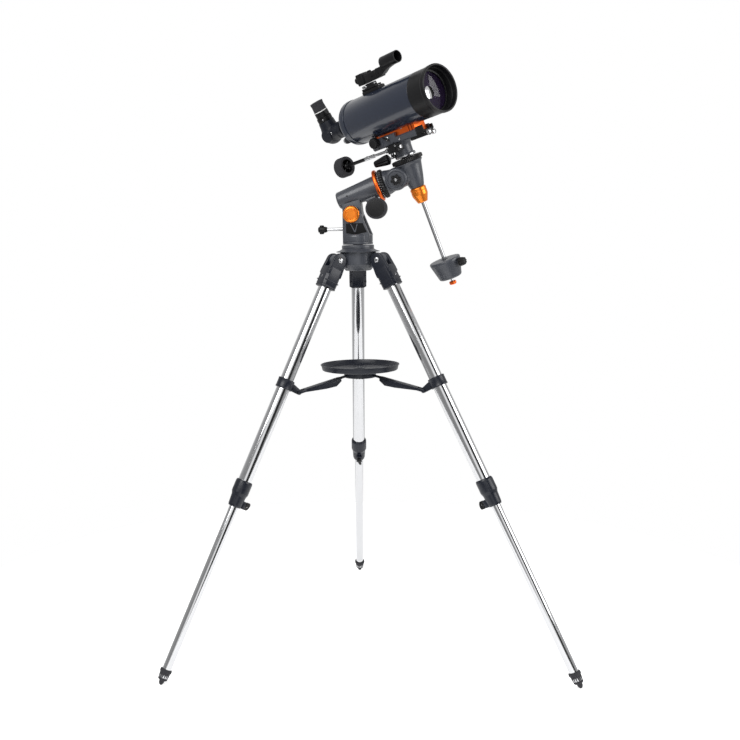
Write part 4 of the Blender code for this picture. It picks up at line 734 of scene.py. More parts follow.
class TELESCOPE_OT_finder(Operator):
    """Builds the sight finder on its foot"""

    bl_idname = "telescope.finder"
    bl_label = "Finder"

    def execute(self, context):
        sizes = context.scene.telescope_tube
        self.foot()
        self.body(sizes)
        self.knob()
        return {"FINISHED"}

    def foot(self):
        radius = span("optical_tube", TUBE, 2)[1]
        back, front = span("finder_base", TUBE, 0)
        foot = bmesh.new()
        half = 0.0118
        under = [(half * share / 4, (radius**2 - (half * share / 4) ** 2) ** 0.5) for share in range(4, -5, -1)]
        outline = [(-half, radius + 0.0045), (-0.0085, radius + 0.0070), (0.0085, radius + 0.0070),
                   (half, radius + 0.0045)] + under
        add(foot, prism(section(outline), back, front, 0.0007), TUBE @ at(facing="+X"))
        middle = (back + front) / 2
        stem = [(-0.0085, radius + 0.005), (0.0085, radius + 0.005), (0.0068, 0.0726), (-0.0068, 0.0726)]
        add(foot, prism(section(stem), middle - 0.013, middle + 0.011, 0.0014), TUBE @ at(facing="+X"))
        clamp = brick((middle - 0.026, -0.0105, radius + 0.0068), (middle + 0.020, 0.0105, radius + 0.0118), 0.0012)
        add(foot, clamp, TUBE)
        screw_head(foot, TUBE @ at(middle - 0.0135, -0.0060, 0.0665, "-Y"), 0.0048, 0.0038, 1)
        add(foot, rod(0.0016, -0.004, 0.004), TUBE @ at(middle - 0.0135, -0.004, 0.0665, "-Y"), 1)
        for x in (-0.0230, 0.0145):
            screw_head(foot, TUBE @ at(middle + x, -0.0040, 0.0684, "-Y"), 0.0028, 0.0040, 1)
        for x in (back + 0.006, front - 0.006):
            screw_head(foot, TUBE @ at(x, 0, radius + 0.0069), 0.0030, 0.0013, 1)
        finish_piece(
            "finder_foot", foot, "tube", [satin_black(), plated_steel()], "black_plastic", "finder_base"
        )

    def body(self, sizes):
        back = span("finder_body", FINDER, 0)[0]
        front = span("finder_body", FINDER, 0)[1]
        top = span("finder_body", FINDER, 2)[1]
        centre = 0.028
        outer = top - centre
        body = bmesh.new()
        side = [
            (back + 0.0005, 0.0010), (back + 0.062, 0.0010), (back + 0.078, 0.0045), (back + 0.092, 0.0115),
            (back + 0.112, 0.0148), (back + 0.124, 0.0190), (back + 0.096, 0.0255), (back + 0.080, 0.0235),
            (back + 0.060, 0.0222), (back + 0.024, 0.0222), (back + 0.020, 0.0270), (back + 0.0005, 0.0274),
        ]
        add(body, prism([(x, z) for x, z in side], -0.0098, 0.0098, 0.0016), FINDER @ at(facing="-Y"))
        add(body, brick((back, -0.0118, 0.0008), (back + 0.0205, 0.0118, 0.0276), 0.0024), FINDER)
        add(body, brick((back + 0.025, -0.0113, 0.0012), (back + 0.062, 0.0113, 0.0202), 0.0020), FINDER)
        for x in (0.0220, 0.0652, 0.0690):
            add(body, brick((back + x, -0.0106, 0.0012), (back + x + 0.0018, 0.0106, 0.0232), 0.0004), FINDER)
        start = front - 0.0475
        tube = [
            (sizes.finder_bore, start, 0.0004), (outer, start, 0.0006), (outer, front, 0.0007),
            (sizes.finder_bore, front, 0.0004),
        ]
        add(body, lathe(tube, 96, ring=True), FINDER @ at(z=centre, facing="+X"))
        window = [
            (0, start + 0.006), (sizes.finder_bore + 0.0004, start + 0.006),
            (sizes.finder_bore + 0.0004, start + 0.0078), (0, start + 0.0078),
        ]
        add(body, lathe(window, 64), FINDER @ at(z=centre, facing="+X"), 2)
        boss = lathe([(0, 0.0), (0.0052, 0.0), (0.0052, 0.0038, 0.0006), (0.0034, 0.0048, 0.0006), (0, 0.0048)], 60)
        add(body, flute(boss, 15, 0.0004, 0.0006, 0.0036), FINDER @ at(back + 0.036, 0, 0.0218), 1)
        screw_head(body, FINDER @ at(back + 0.050, -0.0112, 0.0105, "-Y"), 0.0034, 0.0012, 1)
        add(
            body, rod(0.0022, -0.0105, 0.0105), FINDER @ at(back + 0.084, 0, 0.0140, "-Y"), 1
        )
        finish_piece(
            "finder_sight", body, "finder", [satin_black(), matt_black(), coated_glass()],
            "black_plastic", "finder_body",
        )

    def knob(self):
        back, front = span("finder_knob", FINDER, 0)
        knob = bmesh.new()
        reach = front - back
        grip = lathe(
            [(0, 0), (0.0060, 0, 0.0003), (0.0080, 0.0016, 0.0006), (0.0080, reach - 0.001, 0.0010),
             (0.0052, reach, 0.0005), (0.0046, reach - 0.001), (0, reach - 0.001)], 108,
        )
        add(knob, flute(grip, 18, 0.0008, 0.0015, reach - 0.0008), FINDER @ at(front, 0, 0.0148, "-X"))
        finish_piece("finder_dial", knob, "finder_knob", [satin_black()], "black_plastic", "finder_knob")


def moulding_grey():
    base = bpy.context.scene.telescope_finishes.moulding
    darker = tuple(channel * 0.8 + 0.001 for channel in base)
    return make_finish("charcoal_moulding", darker, 0.38, grain=1100, bump=0.22, mottle=0.10, specular=0.32)


# ---------------------------------------------------------------- the mount

def slow_motion_knob(piece, place, ribs, face):
    """A round ribbed grip. Its open side, away from the place's +Z, shows a hub and its spokes."""
    radius, depth = 0.0245, 0.027
    grip = lathe(
        [(0.0165, 0.0015, 0.0003), (0.0185, 0.0, 0.0006), (0.0228, 0.0, 0.0010), (radius, 0.0030, 0.0014),
         (radius, depth - 0.0022, 0.0014), (radius - 0.0022, depth, 0.0008), (0, depth),
         (0, depth - 0.004), (0.0165, depth - 0.004)],
        ribs * 6,
    )
    add(piece, flute(grip, ribs, 0.00055, 0.0026, depth - 0.0030), place, 0)
    hub = [
        (0, depth - 0.004), (0.0075, depth - 0.004), (0.0072, 0.0030, 0.0008), (0.0052, 0.0005, 0.0006),
        (0.0044, -0.004, 0.0005), (0, -0.004),
    ]
    add(piece, lathe(hub, 48), place, 1)
    for turn in around(4, radians(45)):
        add(piece, brick((0.006, -0.0013, 0.006), (0.017, 0.0013, depth - 0.0035), 0.0004), place @ turn, 1)
    if face:
        disc = [(0, depth + 0.0006), (0.0195, depth + 0.0006, 0.0006), (0.0205, depth - 0.001), (0, depth - 0.001)]
        add(piece, lathe(disc, 96), place, 1)


def setting_circle(piece, place, inner, outer, height, teeth, ticks, width):
    """A flat dial with a toothed rim, and evenly spaced white marks near the edge of its top."""
    rim = outer - 0.0004
    dial = [
        (inner, 0.0003), (rim - 0.0012, 0.0003, 0.0005), (rim, 0.0014, 0.0005), (rim, height - 0.0028, 0.0006),
        (rim - 0.0030, height - 0.0008, 0.0010), (inner, height - 0.0008),
    ]
    add(piece, flute(lathe(dial, teeth * 6, ring=True), teeth, 0.0011, 0.0002, height - 0.0022), place, 0)
    for index, turn in enumerate(around(ticks)):
        reach = 0.0034 if index % 3 == 0 else 0.0020
        mark = brick((-reach, -width / 2, -0.0004), (0, width / 2, 0.00012), 0)
        add(piece, mark, place @ turn @ at(rim - 0.0042, 0, height - 0.0008), 1)


class TELESCOPE_OT_dovetail(Operator):
    """Builds the orange dovetail bar under the tube"""

    bl_idname = "telescope.dovetail"
    bl_label = "Dovetail bar"

    def execute(self, context):
        radius = span("optical_tube", TUBE, 2)[1]
        back, front = span("dovetail_bar", TUBE, 0)
        foot = span("dovetail_bar", TUBE, 2)[0]
        bar = bmesh.new()
        half, neck = 0.0217, 0.0184
        seat = [(neck * step / 4, -((radius**2 - (neck * step / 4) ** 2) ** 0.5)) for step in range(-4, 5)]
        outline = [(-half, foot + 0.0001), (half, foot + 0.0001), (neck, foot + 0.0140)] + [
            (y, z) for y, z in reversed(seat)
        ] + [(-neck, foot + 0.0140)]
        add(bar, prism(section(outline), back, front - 0.0195, 0.0006), TUBE @ at(facing="+X"))
        core = [(y * 0.72, z) for y, z in outline]
        add(bar, prism(section(core), front - 0.0200, front - 0.001, 0.0004), TUBE @ at(facing="+X"), 2)
        for start, end in ((0.0170, 0.0105), (0.0080, 0.0005)):
            tooth = prism(section(outline), front - start, front - end, 0.0005)
            add(bar, tooth, TUBE @ at(facing="+X"))
        for x in (back + 0.018, front - 0.040):
            for way in (-1, 1):
                place = TUBE @ at(x, way * (neck - 0.0001), foot + 0.0226, "-Y" if way < 0 else "+Y")
                screw_head(bar, place, 0.0024, 0.0010, 1)
        finish_piece(
            "dovetail_rail", bar, "tube", [orange_paint(), plated_steel(), matt_black()], "orange_paint",
            "dovetail_bar",
        )
        return {"FINISHED"}


class TELESCOPE_OT_saddle(Operator):
    """Builds the saddle on its pedestal, with its clamp knob, screws and worm housing"""

    bl_idname = "telescope.saddle"
    bl_label = "Saddle"

    def execute(self, context):
        sizes = context.scene.telescope_mount
        back, front = span("saddle", SADDLE, 0)
        top = span("saddle", SADDLE, 2)[1]
        floor = span("dovetail_bar", SADDLE, 2)[0]
        half = span("saddle", SADDLE, 1)[1]
        body = bmesh.new()
        low = 0.0758
        edge = sizes.casting_round * 0.5
        step, end = 0.0140, front - 0.0230
        for start, stop, top_here, lip in ((back, step, top, 0.0189), (step - 0.001, end, 0.0925, 0.0208)):
            bed = [
                (-half, low + 0.0035), (-half + 0.0035, low), (half - 0.0035, low), (half, low + 0.0035),
                (half, top_here - 0.003), (half - 0.003, top_here), (lip, top_here), (0.0224, floor - 0.0002),
                (-0.0224, floor - 0.0002), (-lip, top_here), (-half + 0.003, top_here), (-half, top_here - 0.003),
            ]
            add(body, prism(section(bed), start, stop, edge), SADDLE @ at(facing="+X"))
        add(body, brick((end + 0.0005, -half, low), (front - 0.0080, half * 0.55, floor - 0.0003), 0.0010), SADDLE, 1)
        add(body, brick((end + 0.0005, -half, low + 0.002), (front, -0.0229, 0.0960), 0.0022), SADDLE, 1)
        add(body, brick((end + 0.0005, 0.0229, low + 0.002), (end + 0.0080, half, 0.0900), 0.0022), SADDLE, 1)
        block = brick((front - 0.046, -0.0262, low - 0.0062), (front + 0.0040, -0.0060, low + 0.0004), 0.0014)
        add(body, block, SADDLE, 1)
        jaw = brick((back + 0.006, -half - 0.0012, low + 0.0055), (back + 0.036, -half + 0.002, top - 0.004), 0.0010)
        add(body, jaw, SADDLE, 0)
        post = [
            (0, 0.0785), (0.0258, 0.0785), (0.0252, 0.0745, 0.003), (0.0212, 0.0660, 0.003),
            (0.0205, 0.0470, 0.0006), (0.0236, 0.0462, 0.0006), (0.0236, 0.0402, 0.0006), (0.0130, 0.0394),
            (0.0118, 0.0394), (0.0118, 0.0276), (0, 0.0276),
        ]
        add(body, lathe(post, 96), SADDLE)
        flange = [(0.0238, 0.0438), (0.0246, 0.0438, 0.0003), (0.0246, 0.0412, 0.0003), (0.0238, 0.0412)]
        add(body, lathe(flange, 96, ring=True), SADDLE, 2)
        add(body, lathe([(0, -0.0125), (0.0078, -0.0125), (0.0078, 0.0277), (0, 0.0277)], 48), SADDLE, 2)
        self.side_screws(body, half, front, back)
        self.worm(body)
        finish_piece(
            "saddle_casting", body, "dec", [casting(), satin_black(), plated_steel()], "grey_paint", "saddle"
        )
        self.clamp_knob(half)
        return {"FINISHED"}

    def side_screws(self, body, half, front, back):
        for x, z, radius in ((-0.010, 0.0945, 0.0056), (0.026, 0.0835, 0.0028)):
            screw_head(body, SADDLE @ at(x, -half + 0.0002, z, "-Y"), radius, 0.0030, 2)
        wing = SADDLE @ at(-0.010, -half - 0.0028, 0.0945, "-Y") @ Matrix.Rotation(radians(-35), 4, "Z")
        add(body, brick((-0.0105, -0.0015, 0), (0.0105, 0.0015, 0.0036), 0.0009), wing, 1)
        for x, z in ((back + 0.020, 0.0792), (0.004, 0.0805)):
            screw_head(body, SADDLE @ at(x, -half + 0.0002, z, "-Y"), 0.0019, 0.0010, 1)
        for y, z, reach in ((-0.0250, 0.0765, 0.017), (-0.0150, 0.0725, 0.020)):
            place = SADDLE @ at(front, y, z, "+X")
            add(body, rod(0.0022, -0.001, reach - 0.006), place, 2)
            nut = lathe([(0, 0.0015), (0.0046, 0.0015, 0.0004), (0.0046, 0.0050, 0.0004), (0, 0.0050)], 6)
            add(body, nut, place, 1)
            head = lathe(
                [(0, reach - 0.0085), (0.0054, reach - 0.0085, 0.0005), (0.0054, reach - 0.001, 0.0006),
                 (0.0030, reach), (0, reach)], 80,
            )
            add(body, flute(head, 20, 0.0005, reach - 0.0080, reach - 0.0015), place, 2)

    def worm(self, body):
        side, height = -0.027, 0.0675
        add(body, brick((-0.0165, side - 0.0085, 0.0587), (0.0165, -0.0100, 0.0780), 0.0016), SADDLE, 1)
        add(body, brick((-0.0105, side - 0.0098, 0.0610), (0.0105, side - 0.0060, 0.0740), 0.0010), SADDLE, 1)
        axis = SADDLE @ at(0, side, height, "-X")
        for low, high, radius in ((-0.0215, -0.0160, 0.0052), (0.0160, 0.0205, 0.0056)):
            add(body, rod(radius, low, high, 0.0006, 6), axis, 2)
        for x in (-0.0115, 0.0115):
            screw_head(body, SADDLE @ at(x, side - 0.0083, 0.0730, "-Y"), 0.0022, 0.0014, 2)
        lever = prism(
            [(-0.004, 0.004), (0.004, 0.004), (0.006, -0.010), (0.001, -0.0150), (-0.005, -0.012)],
            -0.0012, 0.0012, 0.0006,
        )
        add(body, lever, SADDLE @ at(-0.004, side - 0.0095, 0.0635, "-Y"), 1)
        screw_head(body, SADDLE @ at(-0.003, side - 0.0105, 0.0575, "-Y"), 0.0020, 0.0010, 2)

    def clamp_knob(self, half):
        reach = -span("saddle_knob", SADDLE, 1)[0]
        low, high = span("saddle_knob", SADDLE, 2)
        place = SADDLE @ at(-0.042, -half, (low + high) / 2, "-Y")
        depth = reach - half
        knob = bmesh.new()
        grip = lathe(
            [(0, 0.0022), (0.0078, 0.0022), (0.0108, 0.0042, 0.0010), (0.0130, 0.0060, 0.0012),
             (0.0130, depth - 0.0030, 0.0014), (0.0108, depth, 0.0008), (0.0090, depth - 0.0012), (0, depth - 0.0012)],
            160,
        )
        add(knob, flute(grip, 16, 0.0012, 0.0055, depth - 0.0005, power=2.0), place)
        add(knob, rod(0.0062, 0.0004, 0.0026, 0.0003), place, 1)
        finish_piece(
            "saddle_clamp_knob", knob, "saddle_knob", [satin_black(), plated_steel()], "black_plastic",
            "saddle_knob",
        )


class TELESCOPE_OT_declination_controls(Operator):
    """Builds the declination circle, its clamp knob and its slow-motion knob"""

    bl_idname = "telescope.declination_controls"
    bl_label = "Declination controls"

    def execute(self, context):
        sizes = context.scene.telescope_mount
        low, high = span("dec_setting_circle", HEAD, 2)
        outer = span("dec_setting_circle", HEAD, 1)[1]
        dial = bmesh.new()
        setting_circle(
            dial, HEAD @ at(z=low), 0.0124, outer, high - low, sizes.circle_teeth, sizes.tick_count, sizes.tick_width
        )
        finish_piece(
            "declination_dial", dial, "dec_setting_circle", [satin_black(), white_paint()], "black_plastic",
            "dec_setting_circle",
        )
        self.lock_knob()
        self.slow_knob(sizes)
        return {"FINISHED"}

    def lock_knob(self):
        out = joint_axis("dec_lock_turn")
        place = axes_frame(joint_place("dec_lock_turn"), y=out.cross(HEAD.col[2].to_3d()).normalized(), z=out)
        knob = bmesh.new()
        grip = lathe(
            [(0, 0.0385), (0.0072, 0.0385, 0.0008), (0.0128, 0.0420, 0.0016), (0.0121, 0.0520, 0.002),
             (0.0076, 0.0780, 0.0022), (0, 0.0799)], 126,
        )
        add(knob, flute(grip, 9, 0.0022, 0.0425, 0.0775, power=1.4), place)
        add(knob, rod(0.0027, 0.0208, 0.0395, 0.0004), place, 1)
        add(knob, rod(0.0052, 0.0215, 0.0252, 0.0005, 6), place, 0)
        finish_piece(
            "declination_clamp", knob, "dec_lock_knob", [satin_black(), plated_steel()], "black_plastic",
            "dec_lock_knob",
        )

    def slow_knob(self, sizes):
        far = -span("dec_slow_knob", SADDLE, 0)[0]
        place = SADDLE @ at(0, -0.027, 0.0675, "-X")
        knob = bmesh.new()
        slow_motion_knob(knob, place @ at(z=far - 0.027), sizes.knob_ribs, False)
        add(knob, rod(0.0043, 0.0975, far - 0.020, 0.0004), place, 1)
        sleeve = [
            (0, 0.0675), (0.0047, 0.0675, 0.0005), (0.0047, 0.0820, 0.0003), (0.0042, 0.0824),
            (0.0042, 0.0836), (0.0047, 0.0840, 0.0003), (0.0047, 0.0985, 0.0005), (0, 0.0985),
        ]
        add(knob, lathe(sleeve, 48), place, 2)
        add(knob, rod(0.0032, 0.0220, 0.0700, 0.0003), place, 2)
        add(knob, rod(0.0050, 0.0225, 0.0285, 0.0005, 6), place, 2)
        screw_head(knob, place @ at(x=0.0044, z=0.0910, facing="+X"), 0.0014, 0.0012, 1)
        finish_piece(
            "declination_slow_motion", knob, "dec_slow_knob", [rubber(), satin_black(), plated_steel()],
            "rubber", "dec_slow_knob",
        )


class TELESCOPE_OT_head(Operator):
    """Builds the casting that carries the declination shaft, and its star knob"""

    bl_idname = "telescope.head"
    bl_label = "Head"

    def execute(self, context):
        back = span("ra_setting_circle", HEAD, 0)[1]
        top = span("dec_setting_circle", HEAD, 2)[0]
        body = bmesh.new()
        barrel = [
            (0, 0.0145), (0.0150, 0.0125, 0.004), (0.0238, 0.0030, 0.006), (0.0252, -0.0200, 0.010),
            (0.0256, -0.0480, 0.006), (0.0292, back + 0.0045, 0.0015), (0.0292, back + 0.0005, 0.0005),
            (0, back + 0.0005),
        ]
        add(body, lathe(barrel, 112), HEAD @ at(facing="+X"))
        add(body, rod(0.0098, -0.1280, -0.0600, 0.0005), HEAD @ at(facing="+X"), 1)
        cone = [
            (0, top - 0.0004), (0.0325, top - 0.0004, 0.0008), (0.0332, top - 0.0036, 0.0008),
            (0.0296, top - 0.0070, 0.004), (0.0272, 0.0080, 0.010), (0.0222, -0.0160, 0.010),
            (0.0170, -0.0345, 0.0010), (0.0158, -0.0360, 0.0003), (0, -0.0360),
        ]
        add(body, lathe(cone, 112), HEAD)
        reach = 0.031
        boss = [
            (0, reach - 0.0010), (0.0185, reach - 0.0010), (0.0200, reach, 0.0006), (0.0232, reach, 0.0014),
            (0.0262, reach - 0.0042, 0.0022), (0.0268, 0.0060), (0, 0.0060),
        ]
        place = HEAD @ at(x=-0.037, facing="-Y")
        add(body, lathe(boss, 112), place)
        far = [(0, 0.0262), (0.0100, 0.0262, 0.0012), (0.0128, 0.0200), (0, 0.0200)]
        add(body, lathe(far, 64), HEAD @ at(x=-0.037, facing="+Y"))
        screw_head(body, HEAD @ at(x=-0.004, y=0.0262, z=0.004, facing="+Y"), 0.0040, 0.0020, 1)
        finish_piece(
            "declination_casting", body, "ra_head", [casting(), plated_steel()], "grey_paint", "ra_head"
        )
        self.star_knob(place, reach)
        return {"FINISHED"}

    def star_knob(self, place, reach):
        end = -span("ra_lock_knob", HEAD, 1)[0]
        knob = bmesh.new()
        star = lathe(
            [(0, reach + 0.0008), (0.0095, reach + 0.0008, 0.0006), (0.0128, reach + 0.0035, 0.0012),
             (0.0128, end - 0.0022, 0.0014), (0.0104, end, 0.0008), (0.0054, end, 0.0004),
             (0.0048, end - 0.0012, 0.0003), (0, end - 0.0012)], 120,
        )
        add(knob, flute(star, 6, 0.0034, reach + 0.0010, end + 0.001, power=1.4), place)
        screw_head(knob, place @ at(z=end - 0.0016), 0.0038, 0.0014, 1)
        finish_piece(
            "right_ascension_clamp", knob, "ra_lock_knob", [satin_black(), plated_steel()],
            "black_plastic", "ra_lock_knob",
        )


class TELESCOPE_OT_counterweight(Operator):
    """Builds the shaft collar, the counterweight and its knob, the shaft and the end screw"""

    bl_idname = "telescope.counterweight"
    bl_label = "Counterweight"

    def execute(self, context):
        sizes = context.scene.telescope_mount
        self.collar()
        self.shaft()
        self.weight(sizes)
        self.end_screw()
        return {"FINISHED"}

    def collar(self):
        low, high = span("shaft_collar", HEAD, 2)
        bore = 0.0049
        nut = bmesh.new()
        outline = [
            (bore, high - 0.0002), (0.0168, high - 0.0002, 0.0006), (0.0188, high - 0.0024, 0.0007),
            (0.0188, high - 0.0075, 0.0004), (0.0182, high - 0.0080), (0.0182, high - 0.0088),
            (0.0188, high - 0.0093, 0.0004), (0.0186, high - 0.0185, 0.0012), (0.0126, low + 0.0025, 0.0010),
            (0.0114, low, 0.0006), (bore, low),
        ]
        add(nut, lathe(outline, 112, ring=True), HEAD)
        hole = lathe([(0, 0.0003), (0.0024, 0.0003, 0.0002), (0.0024, -0.002), (0, -0.002)], 32)
        add(nut, hole, HEAD @ Matrix.Rotation(radians(-35), 4, "Z") @ at(0.0184, 0, high - 0.0048, "+X"), 1)
        finish_piece(
            "shaft_collar_nut", nut, "ra_head", [orange_anodising(), matt_black()], "orange_metal",
            "shaft_collar",
        )

    def shaft(self):
        low = span("counterweight_rod", HEAD, 2)[0]
        shaft = bmesh.new()
        add(shaft, rod(0.0048, low, -0.0145, 0.0006, 48), HEAD)
        finish_piece("counterweight_shaft", shaft, "ra_head", [plated_steel()], "steel", "counterweight_rod")

    def weight(self, sizes):
        low, high = span("counterweight", HEAD, 2)
        radius = span("counterweight", HEAD, 1)[1]
        bore = 0.0052
        drum = bmesh.new()
        outline = [
            (bore, high - 0.0012), (0.0085, high - 0.0012), (0.0100, high, 0.0008),
            (radius - 0.0004, high, sizes.weight_round * 0.55), (radius, high - 0.0055, 0.0015),
            (0.0264, low, sizes.weight_round), (0.0095, low, 0.0006), (0.0082, low + 0.0012), (bore, low + 0.0012),
        ]
        add(drum, lathe(outline, 128, ring=True), HEAD)
        finish_piece("counterweight_drum", drum, "counterweight", [casting()], "cast_grey", "counterweight")
        out = joint_axis("counterweight_knob_turn")
        centre = joint_place("counterweight_knob_turn")
        place = axes_frame(centre, y=HEAD.col[2].to_3d().cross(out).normalized(), z=out)
        start, end = span("counterweight_knob", place, 2)
        knob = bmesh.new()
        grip = lathe(
            [(0, radius + 0.0004), (0.0070, radius + 0.0004, 0.0004), (0.0108, radius + 0.0028, 0.0010),
             (0.0100, radius + 0.0100, 0.0010), (0.0086, end - 0.0010, 0.0018), (0, end)], 120,
        )
        add(knob, flute(grip, 8, 0.0018, radius + 0.0030, end - 0.0002, power=1.6), place)
        add(knob, rod(0.0029, start, radius + 0.002, 0.0003), place, 1)
        finish_piece(
            "weight_clamp_knob", knob, "counterweight_knob", [satin_black(), plated_steel()],
            "black_plastic", "counterweight_knob",
        )

    def end_screw(self):
        low, high = span("safety_screw", HEAD, 2)
        screw = bmesh.new()
        add(screw, rod(0.0029, high - 0.0085, high, 0.0002), HEAD, 1)
        head = lathe(
            [(0, high - 0.0068), (0.0070, high - 0.0068, 0.0004), (0.0084, high - 0.0080, 0.0006),
             (0.0084, low + 0.0020, 0.0008), (0.0060, low + 0.0002, 0.0005), (0, low)], 90,
        )
        add(screw, flute(head, 15, 0.0006, low + 0.001, high - 0.0072), HEAD)
        finish_piece(
            "end_screw", screw, "ra_head", [orange_paint(), plated_steel()], "orange_paint", "safety_screw"
        )


class TELESCOPE_OT_polar_axis(Operator):
    """Builds the polar barrel, its orange ring, its setting circle and its slow-motion knob"""

    bl_idname = "telescope.polar_axis"
    bl_label = "Polar axis"

    def execute(self, context):
        sizes = context.scene.telescope_mount
        self.housing(sizes)
        self.rings(sizes)
        self.slow_knob(sizes)
        return {"FINISHED"}

    def housing(self, sizes):
        inverse = POLAR.inverted()
        rise = (inverse @ HEAD.translation).z
        back = span("polar_housing", POLAR, 0)[0]
        front = span("ra_trim_ring", POLAR, 0)[0] - 0.0003
        body = bmesh.new()
        barrel = [
            (0, back + 0.0012), (0.0110, back + 0.0012), (0.0125, back, 0.0005), (0.0175, back, 0.0012),
            (0.0206, back + 0.0030, 0.0018), (0.0216, back + 0.030, 0.02), (0.0262, front - 0.0040, 0.0012),
            (0.0262, front - 0.0002, 0.0004), (0, front - 0.0002),
        ]
        place = POLAR @ at(z=rise, facing="+X")
        add(body, lathe(barrel, 112), place)
        half = 0.0172
        lobe = [(0.0234 * cos(radians(a)), 0.0234 * sin(radians(a))) for a in range(180, 361, 9)]
        lobe += [(0.0300, rise - 0.0125), (0.0100, rise - 0.0040), (-0.0120, rise - 0.0010)]
        web = prism(lobe, -half, half, sizes.casting_round * 0.6)
        add(body, web, POLAR @ at(facing="-Y"))
        bracket = [(0.0495, -0.0155), (0.0665, -0.0155), (0.0665, rise - 0.020), (0.0400, rise - 0.020)]
        add(body, prism(bracket, -0.0160, 0.0160, 0.0018), POLAR @ at(facing="-Y"))
        for x, z in ((0.004, rise + 0.002), (0.038, rise - 0.004)):
            screw_head(body, POLAR @ at(x, -0.0212 if x < 0.02 else -0.0216, z, "-Y"), 0.0021, 0.0012, 1)
        cap = lathe([(0, 0.0022), (0.0060, 0.0022, 0.0004), (0.0060, -0.002), (0, -0.002)], 48)
        add(body, cap, POLAR @ at(back, 0, rise, "-X"), 1)
        finish_piece(
            "polar_barrel", body, "polar", [casting(), matt_black(), plated_steel()], "grey_paint",
            "polar_housing",
        )

    def rings(self, sizes):
        inverse = POLAR.inverted()
        place = POLAR @ at(z=(inverse @ HEAD.translation).z, facing="+X")
        low, high = span("ra_trim_ring", POLAR, 0)
        radius = span("ra_trim_ring", POLAR, 1)[1]
        ring = bmesh.new()
        outline = [
            (0.0104, low), (radius - 0.0018, low, 0.0004), (radius, low + 0.0018, 0.0012),
            (radius, high - 0.0018, 0.0012), (radius - 0.0018, high, 0.0004), (0.0104, high),
        ]
        add(ring, lathe(outline, 144, ring=True), place)
        finish_piece("right_ascension_ring", ring, "polar", [orange_paint()], "orange_paint", "ra_trim_ring")
        low, high = span("ra_setting_circle", POLAR, 0)
        radius = span("ra_setting_circle", POLAR, 1)[1]
        dial = bmesh.new()
        teeth = sizes.ring_teeth
        outline = [
            (0.0104, low), (radius - 0.0020, low, 0.0005), (radius - 0.0020, low + 0.0044, 0.0004),
            (radius, low + 0.0048, 0.0006), (radius, high - 0.0022, 0.0008), (radius - 0.0016, high, 0.0005),
            (0.0104, high),
        ]
        solid = lathe(outline, teeth * 8, ring=True)
        add(dial, flute(solid, teeth, 0.0016, low + 0.0046, high + 0.0001, power=1.5), place)
        for index, turn in enumerate(around(sizes.tick_count)):
            reach = 0.0028 if index % 3 == 0 else 0.0016
            mark = brick((0, -sizes.tick_width / 2, -reach), (0.00012, sizes.tick_width / 2, 0), 0)
            add(dial, mark, place @ turn @ at(x=radius - 0.00202, z=low + 0.0040), 1)
        finish_piece(
            "right_ascension_dial", dial, "ra_setting_circle", [satin_black(), white_paint()],
            "black_plastic", "ra_setting_circle",
        )

    def slow_knob(self, sizes):
        inverse = POLAR.inverted()
        worm = inverse @ joint_place("ra_slow_turn")
        far = -span("ra_slow_knob", POLAR, 1)[0]
        tail = span("ra_slow_knob", POLAR, 1)[1]
        place = POLAR @ at(worm.x, 0, worm.z, "-Y")
        knob = bmesh.new()
        slow_motion_knob(knob, place @ at(z=far - 0.0276), sizes.knob_ribs, True)
        add(knob, rod(0.0034, -tail, far - 0.020, 0.0005, 32), place, 2)
        parts = (
            (0.0185, 0.0235, 0.0068, 6), (0.0240, 0.0330, 0.0050, 40), (-0.0240, -0.0190, 0.0062, 6),
        )
        for low, high, radius, sides in parts:
            add(knob, rod(radius, low, high, 0.0006, sides), place, 2)
        finish_piece(
            "right_ascension_slow_motion", knob, "ra_slow_knob", [rubber(), satin_black(), plated_steel()],
            "rubber", "ra_slow_knob",
        )


